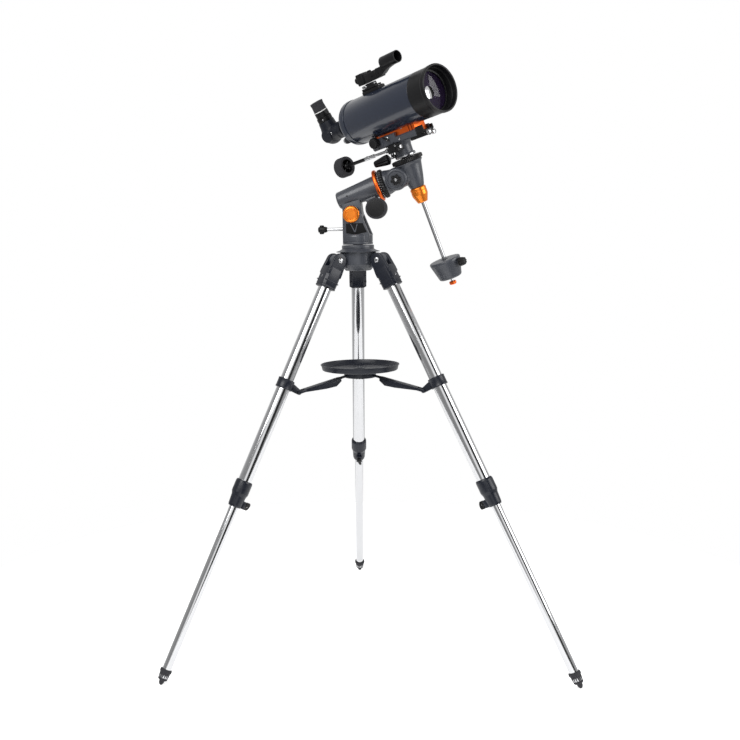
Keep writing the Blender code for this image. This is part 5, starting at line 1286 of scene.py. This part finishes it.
class TELESCOPE_OT_azimuth_fork(Operator):
    """Builds the turning base with its fork, the latitude caps and the latitude screw"""

    bl_idname = "telescope.azimuth_fork"
    bl_label = "Azimuth fork"

    def execute(self, context):
        sizes = context.scene.telescope_mount
        inverse = AZIMUTH.inverted()
        bolt = inverse @ joint_place("latitude")
        screw = inverse @ joint_place("latitude_screw_turn")
        self.base(sizes, bolt, screw)
        self.caps(bolt)
        self.screw(screw)
        return {"FINISHED"}

    def base(self, sizes, bolt, screw):
        low = span("azimuth_base", AZIMUTH, 2)[0]
        half = span("azimuth_base", AZIMUTH, 1)[1]
        side = 0.0281
        gap = 0.0176
        base = bmesh.new()
        table = [
            (0, 0.0255), (0.0320, 0.0255, 0.001), (half - 0.0004, 0.0215, 0.0028), (half - 0.0004, 0.0085, 0.0006),
            (half - 0.0010, 0.0079), (half - 0.0010, 0.0069), (half - 0.0002, 0.0063, 0.0004),
            (half - 0.0002, 0.0010, 0.0007), (0.0118, 0.0003), (0.0118, low, 0.0006), (0, low),
        ]
        add(base, lathe(table, 128), AZIMUTH)
        eye = 0.0213
        left = bolt.x - eye
        top = [(bolt.x + eye * cos(radians(a)), bolt.z + eye * sin(radians(a))) for a in range(12, 181, 8)]
        cheek = [(left, 0.0060), (0.0290, 0.0060), (0.0325, 0.0240), (0.0215, 0.0500)] + top
        for way in (-1, 1):
            ends = sorted((way * gap, way * side))
            add(base, prism(cheek, ends[0], ends[1], sizes.casting_round * 0.7), AZIMUTH @ at(facing="-Y"))
            slot = [(bolt.x - 0.0130, bolt.z - 0.0440), (bolt.x + 0.0080, bolt.z - 0.0475),
                    (bolt.x + 0.0370, bolt.z - 0.0430), (bolt.x + 0.0270, bolt.z - 0.0210),
                    (bolt.x - 0.0130, bolt.z - 0.0210)]
            face = way * side
            ends = sorted((face - way * 0.0010, face + way * 0.00015))
            add(base, prism(slot, -ends[1], -ends[0], 0.0004), AZIMUTH @ at(facing="-Y") , 1)
            pointer = [(bolt.x + 0.0060, bolt.z - 0.0420), (bolt.x + 0.0100, bolt.z - 0.0420),
                       (bolt.x + 0.0150, bolt.z - 0.0225), (bolt.x + 0.0130, bolt.z - 0.0225),
                       (bolt.x + 0.0080, bolt.z - 0.0390), (bolt.x - 0.0010, bolt.z - 0.0225),
                       (bolt.x - 0.0030, bolt.z - 0.0225)]
            ends = sorted((face - way * 0.0008, face + way * 0.0005))
            add(base, prism(pointer, -ends[1], -ends[0], 0.0003), AZIMUTH @ at(facing="-Y"), 0)
        bridge = brick((left, -gap - 0.001, screw.z - 0.0138), (left + 0.0080, gap + 0.001, screw.z + 0.0108), 0.0012)
        add(base, bridge, AZIMUTH)
        arc = self.arc(bolt)
        add(base, arc, AZIMUTH @ at(facing="-Y"), 1)
        for angle in range(40, 141, 10):
            reach = 0.0026 if angle % 20 == 0 else 0.0016
            mark = AZIMUTH @ at(bolt.x, -side, bolt.z, "-Y") @ Matrix.Rotation(radians(angle), 4, "Z")
            add(base, brick((0.0213 - reach, -0.00025, 0.0002), (0.0213, 0.00025, 0.00042), 0), mark, 2)
        finish_piece(
            "azimuth_fork", base, "azimuth", [casting(), matt_black(), white_paint()], "grey_paint",
            "azimuth_base",
        )

    def arc(self, bolt):
        """The thin black latitude scale above the front cap."""
        inner, outer = 0.0180, 0.0215
        near = [(outer * cos(radians(a)), outer * sin(radians(a))) for a in range(28, 153, 4)]
        far = [(inner * cos(radians(a)), inner * sin(radians(a))) for a in range(152, 27, -4)]
        return prism([(bolt.x + x, bolt.z + z) for x, z in near + far], 0.0279, 0.0283, 0.0001, 1)

    def caps(self, bolt):
        reach = span("latitude_bolt", AZIMUTH, 1)[1]
        radius = 0.0199
        caps = bmesh.new()
        for facing in ("-Y", "+Y"):
            cap = [
                (0, reach - 0.0006), (0.0118, reach - 0.0006), (0.0124, reach - 0.0013, 0.0002),
                (0.0132, reach - 0.0013, 0.0002), (0.0138, reach - 0.0005, 0.0003), (0.0150, reach, 0.0006),
                (0.0182, reach - 0.0014, 0.0016), (radius, reach - 0.0038, 0.0010), (radius, 0.0284, 0.0004),
                (0, 0.0284),
            ]
            add(caps, lathe(cap, 112), AZIMUTH @ at(bolt.x, 0, bolt.z, facing))
        add(caps, rod(0.0049, -0.029, 0.029, 0, 40), AZIMUTH @ at(bolt.x, 0, bolt.z, "-Y"), 1)
        finish_piece(
            "latitude_caps", caps, "azimuth", [orange_anodising(), plated_steel()], "orange_metal",
            "latitude_bolt",
        )

    def screw(self, screw):
        axis = joint_axis("latitude_screw_turn")
        place = axes_frame(joint_place("latitude_screw_turn"), y=AZIMUTH.col[1].to_3d(), z=axis)
        if (AZIMUTH.inverted().to_3x3() @ axis).x > 0:
            place = place @ Matrix.Rotation(pi, 4, "X")
        low, high = span("latitude_screw", place, 2)
        piece = bmesh.new()
        add(piece, rod(0.0039, low, high - 0.0080, 0.0005, 36), place, 1)
        add(piece, lathe([(0, 0.0003), (0.0062, 0.0003, 0.0004), (0.0062, 0.0030, 0.0004), (0, 0.0030)], 6), place, 1)
        grip = [
            (0, high - 0.0218), (0.0058, high - 0.0218, 0.0010), (0.0076, high - 0.0150, 0.0025),
            (0.0082, high - 0.0060, 0.0020), (0.0060, high, 0.0015), (0, high),
        ]
        add(piece, lathe(grip, 56), place)
        bar = [
            (0, -0.0108), (0.0052, -0.0106, 0.0022), (0.0058, -0.0040, 0.003), (0.0058, 0.0040, 0.003),
            (0.0052, 0.0106, 0.0022), (0, 0.0108),
        ]
        add(piece, lathe(bar, 40), place @ at(z=high - 0.0085, facing="+X"))
        finish_piece(
            "latitude_t_handle", piece, "latitude_screw", [satin_black(), plated_steel()], "black_plastic",
            "latitude_screw",
        )


# ---------------------------------------------------------------- the tripod

class TELESCOPE_OT_tripod_hub(Operator):
    """Builds the tripod's bell-shaped hub with its three lugs and their fold bolts"""

    bl_idname = "telescope.tripod_hub"
    bl_label = "Tripod hub"

    def execute(self, context):
        sizes = context.scene.telescope_tripod
        low, high = span("tripod_hub", HUB, 2)
        hub = bmesh.new()
        outline = [
            (0.0124, high), (0.0370, high, 0.0006), (0.0384, high - 0.0014, 0.0010), (0.0384, high - 0.0075, 0.0004),
            (0.0378, high - 0.0080), (0.0378, high - 0.0090), (0.0390, high - 0.0094, 0.0005),
            (0.0420, high - 0.0120, 0.006), (0.0525, 0.0196, 0.0008), (0.0515, 0.0184, 0.0005),
            (0.0424, 0.0180, 0.001),
            (0.0418, 0.0020, 0.008), (0.0418, -0.0110, 0.002), (0.0300, low, 0.0020),
            (0.0220, low, 0.001), (0.0180, low + 0.0090), (0, low + 0.0090), (0, high - 0.0226),
            (0.0124, high - 0.0226),
        ]
        add(hub, lathe(outline, 144), HUB)
        for n in LEGS:
            pin = (HUB.inverted() @ LEG[n].translation).to_2d()
            spoke = axes_frame(HUB.translation, x=Vector((*pin.normalized(), 0)), z=Vector((0, 0, 1)))
            reach = pin.length
            lug = [(0.024, 0.0220), (reach - 0.0135, 0.0160), (reach - 0.004, 0.0139)]
            lug += [(reach + 0.0143 * cos(radians(a)), 0.0143 * sin(radians(a))) for a in range(80, -91, -10)]
            lug += [(reach - 0.010, -0.0150), (0.024, -0.0225)]
            add(hub, prism(lug, -0.0098, 0.0098, 0.0012), spoke @ at(facing="-Y"))
            self.bolt(sizes, n)
        finish_piece("hub_casting", hub, "tripod", [casting()], "grey_paint", "tripod_hub")
        return {"FINISHED"}

    def bolt(self, sizes, n):
        high = span(f"leg_pivot_bolt_{n}", LEG[n], 1)[1]
        bolt = bmesh.new()
        radius = sizes.bolt_radius
        for facing in ("-Y", "+Y"):
            head = [
                (0, high - 0.0012), (radius * 0.30, high - 0.0012), (radius * 0.36, high, 0.0002),
                (radius * 0.62, high - 0.0002, 0.0012), (radius, high - 0.0018, 0.0006),
                (radius, high - 0.0028, 0.0002), (0, high - 0.0028),
            ]
            add(bolt, lathe(head, 64), LEG[n] @ at(facing=facing))
        add(bolt, rod(0.0039, -high + 0.0025, high - 0.0025, 0, 32), LEG[n] @ at(facing="-Y"))
        finish_piece(f"fold_bolt_{n}", bolt, "tripod", [plated_steel()], "steel", f"leg_pivot_bolt_{n}")


class TELESCOPE_OT_legs(Operator):
    """Builds the three legs: brackets, steel tubes, locking collars, knobs and feet"""

    bl_idname = "telescope.legs"
    bl_label = "Legs"

    def execute(self, context):
        sizes = context.scene.telescope_tripod
        for n in LEGS:
            self.bracket(sizes, n)
            self.tubes(n)
            self.collar(n)
            self.foot(sizes, n)
        return {"FINISHED"}

    def bracket(self, sizes, n):
        leg = LEG[n]
        low, high = span(f"leg_bracket_{n}", leg, 2)
        deep = span(f"leg_bracket_{n}", leg, 0)[1]
        half = span(f"leg_bracket_{n}", leg, 1)[1]
        slot = 0.0104
        eye = high - 0.0002
        piece = bmesh.new()
        ear = [(eye * cos(radians(a)), eye * sin(radians(a))) for a in range(0, 181, 12)]
        ear += [(-deep + 0.0006, -0.0290), (-deep + 0.0006, -0.0400), (deep - 0.0006, -0.0400), (deep - 0.0006, -0.0290)]
        for way in (-1, 1):
            ends = sorted((way * slot, way * (half - 0.0004)))
            add(piece, prism(ear, ends[0], ends[1], sizes.bracket_edge), leg @ at(facing="-Y"))
        corner = 0.0065
        a, b = deep - 0.0002, half - 0.0002
        sleeve = [
            (a - corner, -b), (a, -b + corner), (a, b - corner), (a - corner, b), (-a + corner, b),
            (-a, b - corner), (-a, -b + corner), (-a + corner, -b),
        ]
        add(piece, prism(sleeve, low + sizes.cuff, -0.0215, 0.0012), leg)
        add(piece, prism(sleeve, low, low + sizes.cuff - 0.0008, 0.0012), leg)
        add(piece, prism([(x * 0.96, y * 0.96) for x, y in sleeve], low + 0.001, low + sizes.cuff + 0.001, 0), leg)
        for way in (-1, 1):
            side = way * (half - 0.0016)
            fin = brick(
                (-deep + 0.001, side - 0.0016, -0.0560), (deep - 0.001, side + 0.0016, -0.0535), 0.0005
            )
            add(piece, fin, leg)
        screw_head(piece, leg @ at(deep - 0.0012, 0, -0.0480, "+X"), 0.0030, 0.0013, 1)
        finish_piece(
            f"leg_bracket_shell_{n}", piece, f"leg_{n}", [moulding(), plated_steel()], "dark_plastic",
            f"leg_bracket_{n}",
        )

    def tubes(self, n):
        leg = LEG[n]
        for part, body in (("upper", f"leg_{n}"), ("lower", f"leg_{n}_lower")):
            node = f"leg_{part}_tube_{n}"
            low, high = span(node, leg, 2)
            radius = span(node, leg, 1)[1]
            piece = bmesh.new()
            bore = radius - 0.0012
            outline = [(bore, high), (radius, high, 0.0003), (radius, low, 0.0003), (bore, low)]
            add(piece, lathe(outline, 72, ring=True), leg)
            finish_piece(f"{part}_steel_tube_{n}", piece, body, [leg_steel()], "leg_steel", node)

    def collar(self, n):
        leg = LEG[n]
        low, high = span(f"leg_lock_collar_{n}", leg, 2)
        outer = span(f"leg_lock_collar_{n}", leg, 1)[1]
        step = -joint_place_in(leg, f"leg_{n}_lock_turn").z - 0.018
        tube = span(f"leg_upper_tube_{n}", leg, 1)[1]
        lower = span(f"leg_lower_tube_{n}", leg, 1)[1]
        waist = lower + 0.0060
        piece = bmesh.new()
        outline = [
            (tube + 0.0002, high), (outer - 0.0022, high, 0.0006), (outer - 0.0004, high - 0.0040, 0.0016),
            (outer - 0.0004, -step + 0.0060, 0.0012), (outer - 0.0012, -step + 0.0045), (waist + 0.0003, -step - 0.0015, 0.0010),
            (waist - 0.0010, low + 0.0050, 0.0010), (waist - 0.0022, low, 0.0006), (lower + 0.0002, low),
            (lower + 0.0002, -step), (tube + 0.0002, -step),
        ]
        add(piece, lathe(outline, 96, ring=True), leg)
        middle = -step - 0.018
        start = -span(f"leg_lock_collar_{n}", leg, 0)[0]
        boss = brick((-start, -0.0078, middle - 0.0092), (-lower - 0.003, 0.0078, middle + 0.0092), 0.0018)
        add(piece, boss, leg)
        for turn in around(3, radians(60)):
            rib = brick((outer - 0.0030, -0.0030, -step + 0.0045), (outer - 0.0001, 0.0030, high - 0.0035), 0.0010)
            add(piece, rib, leg @ turn)
        finish_piece(
            f"locking_collar_{n}", piece, f"leg_{n}", [moulding()], "dark_plastic", f"leg_lock_collar_{n}"
        )
        knob = bmesh.new()
        end = -span(f"leg_lock_knob_{n}", leg, 0)[0]
        place = leg @ at(z=middle, facing="-X")
        add(knob, rod(0.0029, lower + 0.0007, end - 0.0060, 0.0003, 24), place, 1)
        stem = [(0, start + 0.0003), (0.0062, start + 0.0003, 0.0005), (0.0050, end - 0.0080, 0.0010), (0, end - 0.0080)]
        add(knob, lathe(stem, 40), place)
        wing = [
            (-0.0062, -0.0098), (0.0040, -0.0098), (0.0062, -0.0040), (0.0062, 0.0040), (0.0040, 0.0098),
            (-0.0062, 0.0098), (-0.0040, 0.0),
        ]
        tilt = Matrix.Rotation(radians(25), 4, "Z")
        blade = prism([(z + end - 0.0064, y) for z, y in wing], -0.0026, 0.0026, 0.0014)
        add(knob, blade, place @ tilt @ at(facing="+Y") @ Matrix.Rotation(-pi / 2, 4, "Z"))
        finish_piece(
            f"locking_knob_{n}", knob, f"leg_{n}_lock", [satin_black(), plated_steel()], "black_plastic",
            f"leg_lock_knob_{n}",
        )

    def foot(self, sizes, n):
        leg = LEG[n]
        low, high = span(f"leg_foot_{n}", leg, 2)
        radius = span(f"leg_foot_{n}", leg, 1)[1]
        lower = span(f"leg_lower_tube_{n}", leg, 1)[1]
        boot = bmesh.new()
        outline = [
            (lower + 0.0002, high), (radius - 0.0008, high, 0.0006), (radius - 0.0002, high - 0.0030, 0.0008),
            (radius - 0.0002, high - 0.0065, 0.0008), (radius - 0.0016, high - 0.0080), (radius - 0.0034, high - 0.0255, 0.0012),
            (0.0066, high - 0.0270, 0.0006), (0.0058, high - 0.0325, 0.0020), (0.0030, high - 0.0372, 0.0015),
            (0, high - 0.0378), (0, high - 0.0200), (lower + 0.0002, high - 0.0200),
        ]
        solid = lathe(outline, sizes.foot_ribs * 8)
        flute(solid, sizes.foot_ribs, 0.0011, high - 0.0260, high - 0.0078)
        add(boot, solid, leg)
        finish_piece(f"rubber_boot_{n}", boot, f"leg_{n}_lower", [rubber()], "rubber", f"leg_foot_{n}")


def joint_place_in(local, name):
    return local.inverted() @ joint_place(name)


class TELESCOPE_OT_spreader(Operator):
    """Builds the leg clamps, the three spreader arms and the round tray"""

    bl_idname = "telescope.spreader"
    bl_label = "Spreader and tray"

    def execute(self, context):
        sizes = context.scene.telescope_tripod
        for n in LEGS:
            self.clamp(n)
            self.arm(n)
        self.tray(sizes)
        return {"FINISHED"}

    def clamp(self, n):
        leg = LEG[n]
        outer = span(f"spreader_clamp_{n}", leg, 0)[1]
        tube = span(f"leg_upper_tube_{n}", leg, 1)[1]
        pin = joint_place_in(leg, f"spreader_arm_{n}_turn")
        middle = pin.z + 0.004
        piece = bmesh.new()
        outline = [
            (tube + 0.0002, middle + 0.0119), (outer - 0.0014, middle + 0.0119, 0.0006),
            (outer - 0.0002, middle + 0.0100, 0.0008), (outer - 0.0010, middle + 0.0080), (outer - 0.0010, middle - 0.0080),
            (outer - 0.0002, middle - 0.0100, 0.0008), (outer - 0.0014, middle - 0.0119, 0.0006), (tube + 0.0002, middle - 0.0119),
        ]
        add(piece, lathe(outline, 96, ring=True), leg)
        ear = [(-tube - 0.001, middle + 0.0095), (pin.x, pin.z + 0.0063)]
        ear += [(pin.x + 0.0063 * cos(radians(a)), pin.z + 0.0063 * sin(radians(a))) for a in range(100, 261, 16)]
        ear += [(-tube - 0.001, middle - 0.0095)]
        add(piece, prism(ear, -0.0039, 0.0039, 0.0008), leg @ at(facing="-Y"))
        finish_piece(
            f"leg_clamp_{n}", piece, f"leg_{n}", [moulding()], "dark_plastic", f"spreader_clamp_{n}"
        )

    def arm(self, n):
        pin = joint_place(f"spreader_arm_{n}_turn")
        hub = Vector((TRAY.translation.x, TRAY.translation.y, 0))
        out = (pin - hub)
        out.z = 0
        side = Vector((0, 0, 1)).cross(out.normalized())
        level = axes_frame(pin, y=side, z=Vector((0, 0, 1)))
        rise = radians(11.5)
        arm = level @ Matrix.Rotation(rise, 4, "Y")
        low, high = span(f"spreader_arm_{n}", arm, 0)
        half = span(f"spreader_arm_{n}", arm, 1)[1] - 0.0002
        neck = low + 0.0350
        piece = bmesh.new()
        fork = 0.0046
        for way in (-1, 1):
            ends = sorted((way * fork, way * half))
            cheek = brick((-0.0175, ends[0], -0.0034), (high - 0.0003, ends[1], 0.0034), 0.0011)
            add(piece, cheek, arm)
        outline = [
            (-0.0163, -half), (-0.0163, half), (neck, half), (neck - 0.0080, 0.0044), (low + 0.0003, 0.0044),
            (low + 0.0003, -0.0044), (neck - 0.0080, -0.0044), (neck, -half),
        ]
        add(piece, prism(outline, -0.0010, 0.0034, 0.0008), arm)
        for y in (-half + 0.0010, 0, half - 0.0010):
            web = [
                (-0.0163, 0.001), (-0.0163, -0.0034), (-0.0700, -0.0115), (neck + 0.014, -0.0135),
                (neck - 0.002, -0.0050), (neck - 0.002, 0.001),
            ]
            add(piece, prism(web, -0.0010, 0.0010, 0.0003), arm @ at(y=y, facing="-Y"))
        for x in (-0.045, -0.072, -0.099):
            add(piece, brick((x - 0.0009, -half + 0.001, -0.0080), (x + 0.0009, half - 0.001, 0.0005), 0.0003), arm)
        add(piece, rod(0.0029, -half + 0.0009, half - 0.0009, 0.0004, 24), arm @ at(facing="+Y"), 1)
        finish_piece(
            f"spreader_strut_{n}", piece, f"spreader_arm_{n}", [moulding(), plated_steel()], "dark_plastic",
            f"spreader_arm_{n}",
        )

    def tray(self, sizes):
        radius = span("accessory_tray", TRAY, 1)[1]
        low = span("accessory_tray", TRAY, 2)[0]
        piece = bmesh.new()
        floor = -0.0110
        outline = [
            (0, floor), (0.0500, floor), (0.0520, floor - 0.0004, 0.0003), (0.0540, floor, 0.0003),
            (radius - 0.0085, floor, 0.003), (radius - 0.0030, -0.0010), (radius - 0.0026, 0, sizes.tray_rim * 0.5),
            (radius, 0, sizes.tray_rim * 0.5), (radius, -0.0016, 0.0004), (radius - 0.0016, -0.0022),
            (radius - 0.0044, -0.0138, 0.0020), (0.0398, -0.0138), (0.0380, low, 0.0010), (0.0180, low),
            (0.0170, -0.0160), (0, -0.0160),
        ]
        add(piece, lathe(outline, 160), TRAY)
        boss = [(0, floor + 0.0035), (0.0060, floor + 0.0035, 0.0006), (0.0120, floor + 0.0006), (0.0120, floor - 0.0006), (0, floor - 0.0006)]
        add(piece, lathe(boss, 56), TRAY)
        finish_piece("round_tray", piece, "tray", [moulding()], "dark_plastic", "accessory_tray")


# ---------------------------------------------------------------- the stage

class TELESCOPE_OT_stage(Operator):
    """Builds the pale floor, the studio light and the camera"""

    bl_idname = "telescope.stage"
    bl_label = "Stage"

    def execute(self, context):
        sizes = context.scene.telescope_stage
        self.floor(sizes)
        self.world()
        self.lights(sizes)
        self.camera(sizes)
        context.scene.view_settings.view_transform = "Standard"
        return {"FINISHED"}

    def floor(self, sizes):
        solid = bmesh.new()
        bmesh.ops.create_circle(solid, cap_ends=True, radius=sizes.floor_radius, segments=96)
        mesh = bpy.data.meshes.new("floor")
        solid.to_mesh(mesh)
        solid.free()
        material = bpy.data.materials.new("pale_floor")
        material.use_nodes = True
        shader = material.node_tree.nodes["Principled BSDF"]
        shader.inputs["Base Color"].default_value = (*sizes.floor, 1.0)
        shader.inputs["Roughness"].default_value = 0.9
        shader.inputs["Specular IOR Level"].default_value = 0.0
        shader.inputs["Emission Color"].default_value = (1.0, 1.0, 1.0, 1.0)
        shader.inputs["Emission Strength"].default_value = 0.50
        mesh.materials.append(material)
        floor = bpy.data.objects.new("floor", mesh)
        bpy.context.scene.collection.objects.link(floor)

    def world(self):
        """White to the camera; to everything else, a soft box with darker walls at the sides."""
        world = bpy.data.worlds.new("studio")
        world.use_nodes = True
        bpy.context.scene.world = world
        nodes, links = world.node_tree.nodes, world.node_tree.links
        nodes.clear()
        direction = nodes.new("ShaderNodeTexCoord").outputs["Generated"]
        split = nodes.new("ShaderNodeSeparateXYZ")
        links.new(direction, split.inputs["Vector"])
        turn = nodes.new("ShaderNodeMath")
        turn.operation = "ARCTAN2"
        links.new(split.outputs["Y"], turn.inputs[0])
        links.new(split.outputs["X"], turn.inputs[1])
        share = nodes.new("ShaderNodeMapRange")
        share.inputs["From Min"].default_value = -pi
        share.inputs["From Max"].default_value = pi
        links.new(turn.outputs["Value"], share.inputs["Value"])
        walls = nodes.new("ShaderNodeValToRGB")
        bands = [
            (0.0, 0.60), (0.13, 0.42), (0.19, 0.50), (0.22, 1.60), (0.275, 1.60), (0.295, 0.04), (0.375, 0.04),
            (0.41, 0.55), (0.52, 0.75), (0.70, 0.95), (0.88, 0.95), (0.95, 0.60),
        ]
        ramp = walls.color_ramp
        while len(ramp.elements) < len(bands):
            ramp.elements.new(0.5)
        for element, (position, value) in zip(ramp.elements, bands):
            element.position = position
            element.color = (value, value, value, 1.0)
        links.new(share.outputs["Result"], walls.inputs["Fac"])
        around_light = nodes.new("ShaderNodeBackground")
        around_light.inputs["Strength"].default_value = 0.75
        links.new(walls.outputs["Color"], around_light.inputs["Color"])
        plain = nodes.new("ShaderNodeBackground")
        plain.inputs["Color"].default_value = (1.0, 1.0, 1.0, 1.0)
        plain.inputs["Strength"].default_value = 1.0
        path = nodes.new("ShaderNodeLightPath")
        mix = nodes.new("ShaderNodeMixShader")
        links.new(path.outputs["Is Camera Ray"], mix.inputs["Fac"])
        links.new(around_light.outputs["Background"], mix.inputs[1])
        links.new(plain.outputs["Background"], mix.inputs[2])
        links.new(mix.outputs["Shader"], nodes.new("ShaderNodeOutputWorld").inputs["Surface"])

    def lights(self, sizes):
        middle = Vector((0, 0, 0.75))
        spots = (
            ("key", (-1.6, -2.6, 2.9), 2.2, sizes.key_power),
            ("side", (2.6, -1.2, 1.6), 1.8, sizes.fill_power),
        )
        for name, place, size, power in spots:
            light = bpy.data.lights.new(name, "AREA")
            light.size = size
            light.energy = power
            lamp = bpy.data.objects.new(name, light)
            lamp.location = place
            lamp.rotation_euler = (middle - Vector(place)).to_track_quat("-Z", "Y").to_euler()
            bpy.context.scene.collection.objects.link(lamp)

    def camera(self, sizes):
        distance, height = 2.485165, 1.009404
        pitch, yaw, roll = 0.118794, -0.102701, 0.028237
        turned = Matrix(((cos(yaw), -sin(yaw), 0), (sin(yaw), cos(yaw), 0), (0, 0, 1)))
        tipped = Matrix(((1, 0, 0), (0, cos(pitch), -sin(pitch)), (0, sin(pitch), cos(pitch))))
        rolled = Matrix(((cos(roll), 0, -sin(roll)), (0, 1, 0), (sin(roll), 0, cos(roll))))
        right, ahead, up = rolled @ tipped @ turned
        axes = Matrix((right, up, -ahead)).transposed().to_4x4()
        stand = Matrix.Translation((0, HUB.translation.y, 0)) @ Matrix.Rotation(radians(-1.06), 4, "Z")
        data = bpy.data.cameras.new("camera")
        data.lens = sizes.lens
        data.sensor_width = 36.0
        data.shift_x = 0.156
        data.shift_y = -0.0146
        camera = bpy.data.objects.new("camera", data)
        camera.matrix_world = stand @ Matrix.Translation((0, -distance, height)) @ axes
        bpy.context.scene.collection.objects.link(camera)
        bpy.context.scene.camera = camera


# ---------------------------------------------------------------- panel and registering

STEPS = (
    TELESCOPE_OT_optical_tube, TELESCOPE_OT_optics, TELESCOPE_OT_rear_fittings, TELESCOPE_OT_finder,
    TELESCOPE_OT_dovetail, TELESCOPE_OT_saddle, TELESCOPE_OT_declination_controls, TELESCOPE_OT_head,
    TELESCOPE_OT_counterweight, TELESCOPE_OT_polar_axis, TELESCOPE_OT_azimuth_fork,
    TELESCOPE_OT_tripod_hub, TELESCOPE_OT_legs, TELESCOPE_OT_spreader, TELESCOPE_OT_stage,
)


class TELESCOPE_PT_panel(Panel):
    """Lists the telescope's pieces"""

    bl_idname = "TELESCOPE_PT_panel"
    bl_label = "Telescope"
    bl_space_type = "VIEW_3D"
    bl_region_type = "UI"
    bl_category = "Telescope"

    def draw(self, context):
        scene = context.scene
        column = self.layout.column(align=True)
        for step in STEPS:
            column.operator(step.bl_idname)
        for settings in (
            scene.telescope_tube, scene.telescope_mount, scene.telescope_tripod,
            scene.telescope_finishes, scene.telescope_stage,
        ):
            box = self.layout.box()
            for name in settings.__annotations__:
                box.prop(settings, name)


SETTINGS = {
    "telescope_tube": TubeSettings, "telescope_mount": MountSettings,
    "telescope_tripod": TripodSettings, "telescope_finishes": FinishSettings,
    "telescope_stage": StageSettings,
}


def register():
    for item in (*SETTINGS.values(), *STEPS, TELESCOPE_PT_panel):
        bpy.utils.register_class(item)
    for name, settings in SETTINGS.items():
        setattr(bpy.types.Scene, name, PointerProperty(type=settings))


def unregister():
    for name in SETTINGS:
        delattr(bpy.types.Scene, name)
    for item in reversed((*SETTINGS.values(), *STEPS, TELESCOPE_PT_panel)):
        bpy.utils.unregister_class(item)


def main():
    register()
    for step in STEPS:
        category, name = step.bl_idname.split(".")
        getattr(getattr(bpy.ops, category), name)()


if __name__ == "__main__":
    main()
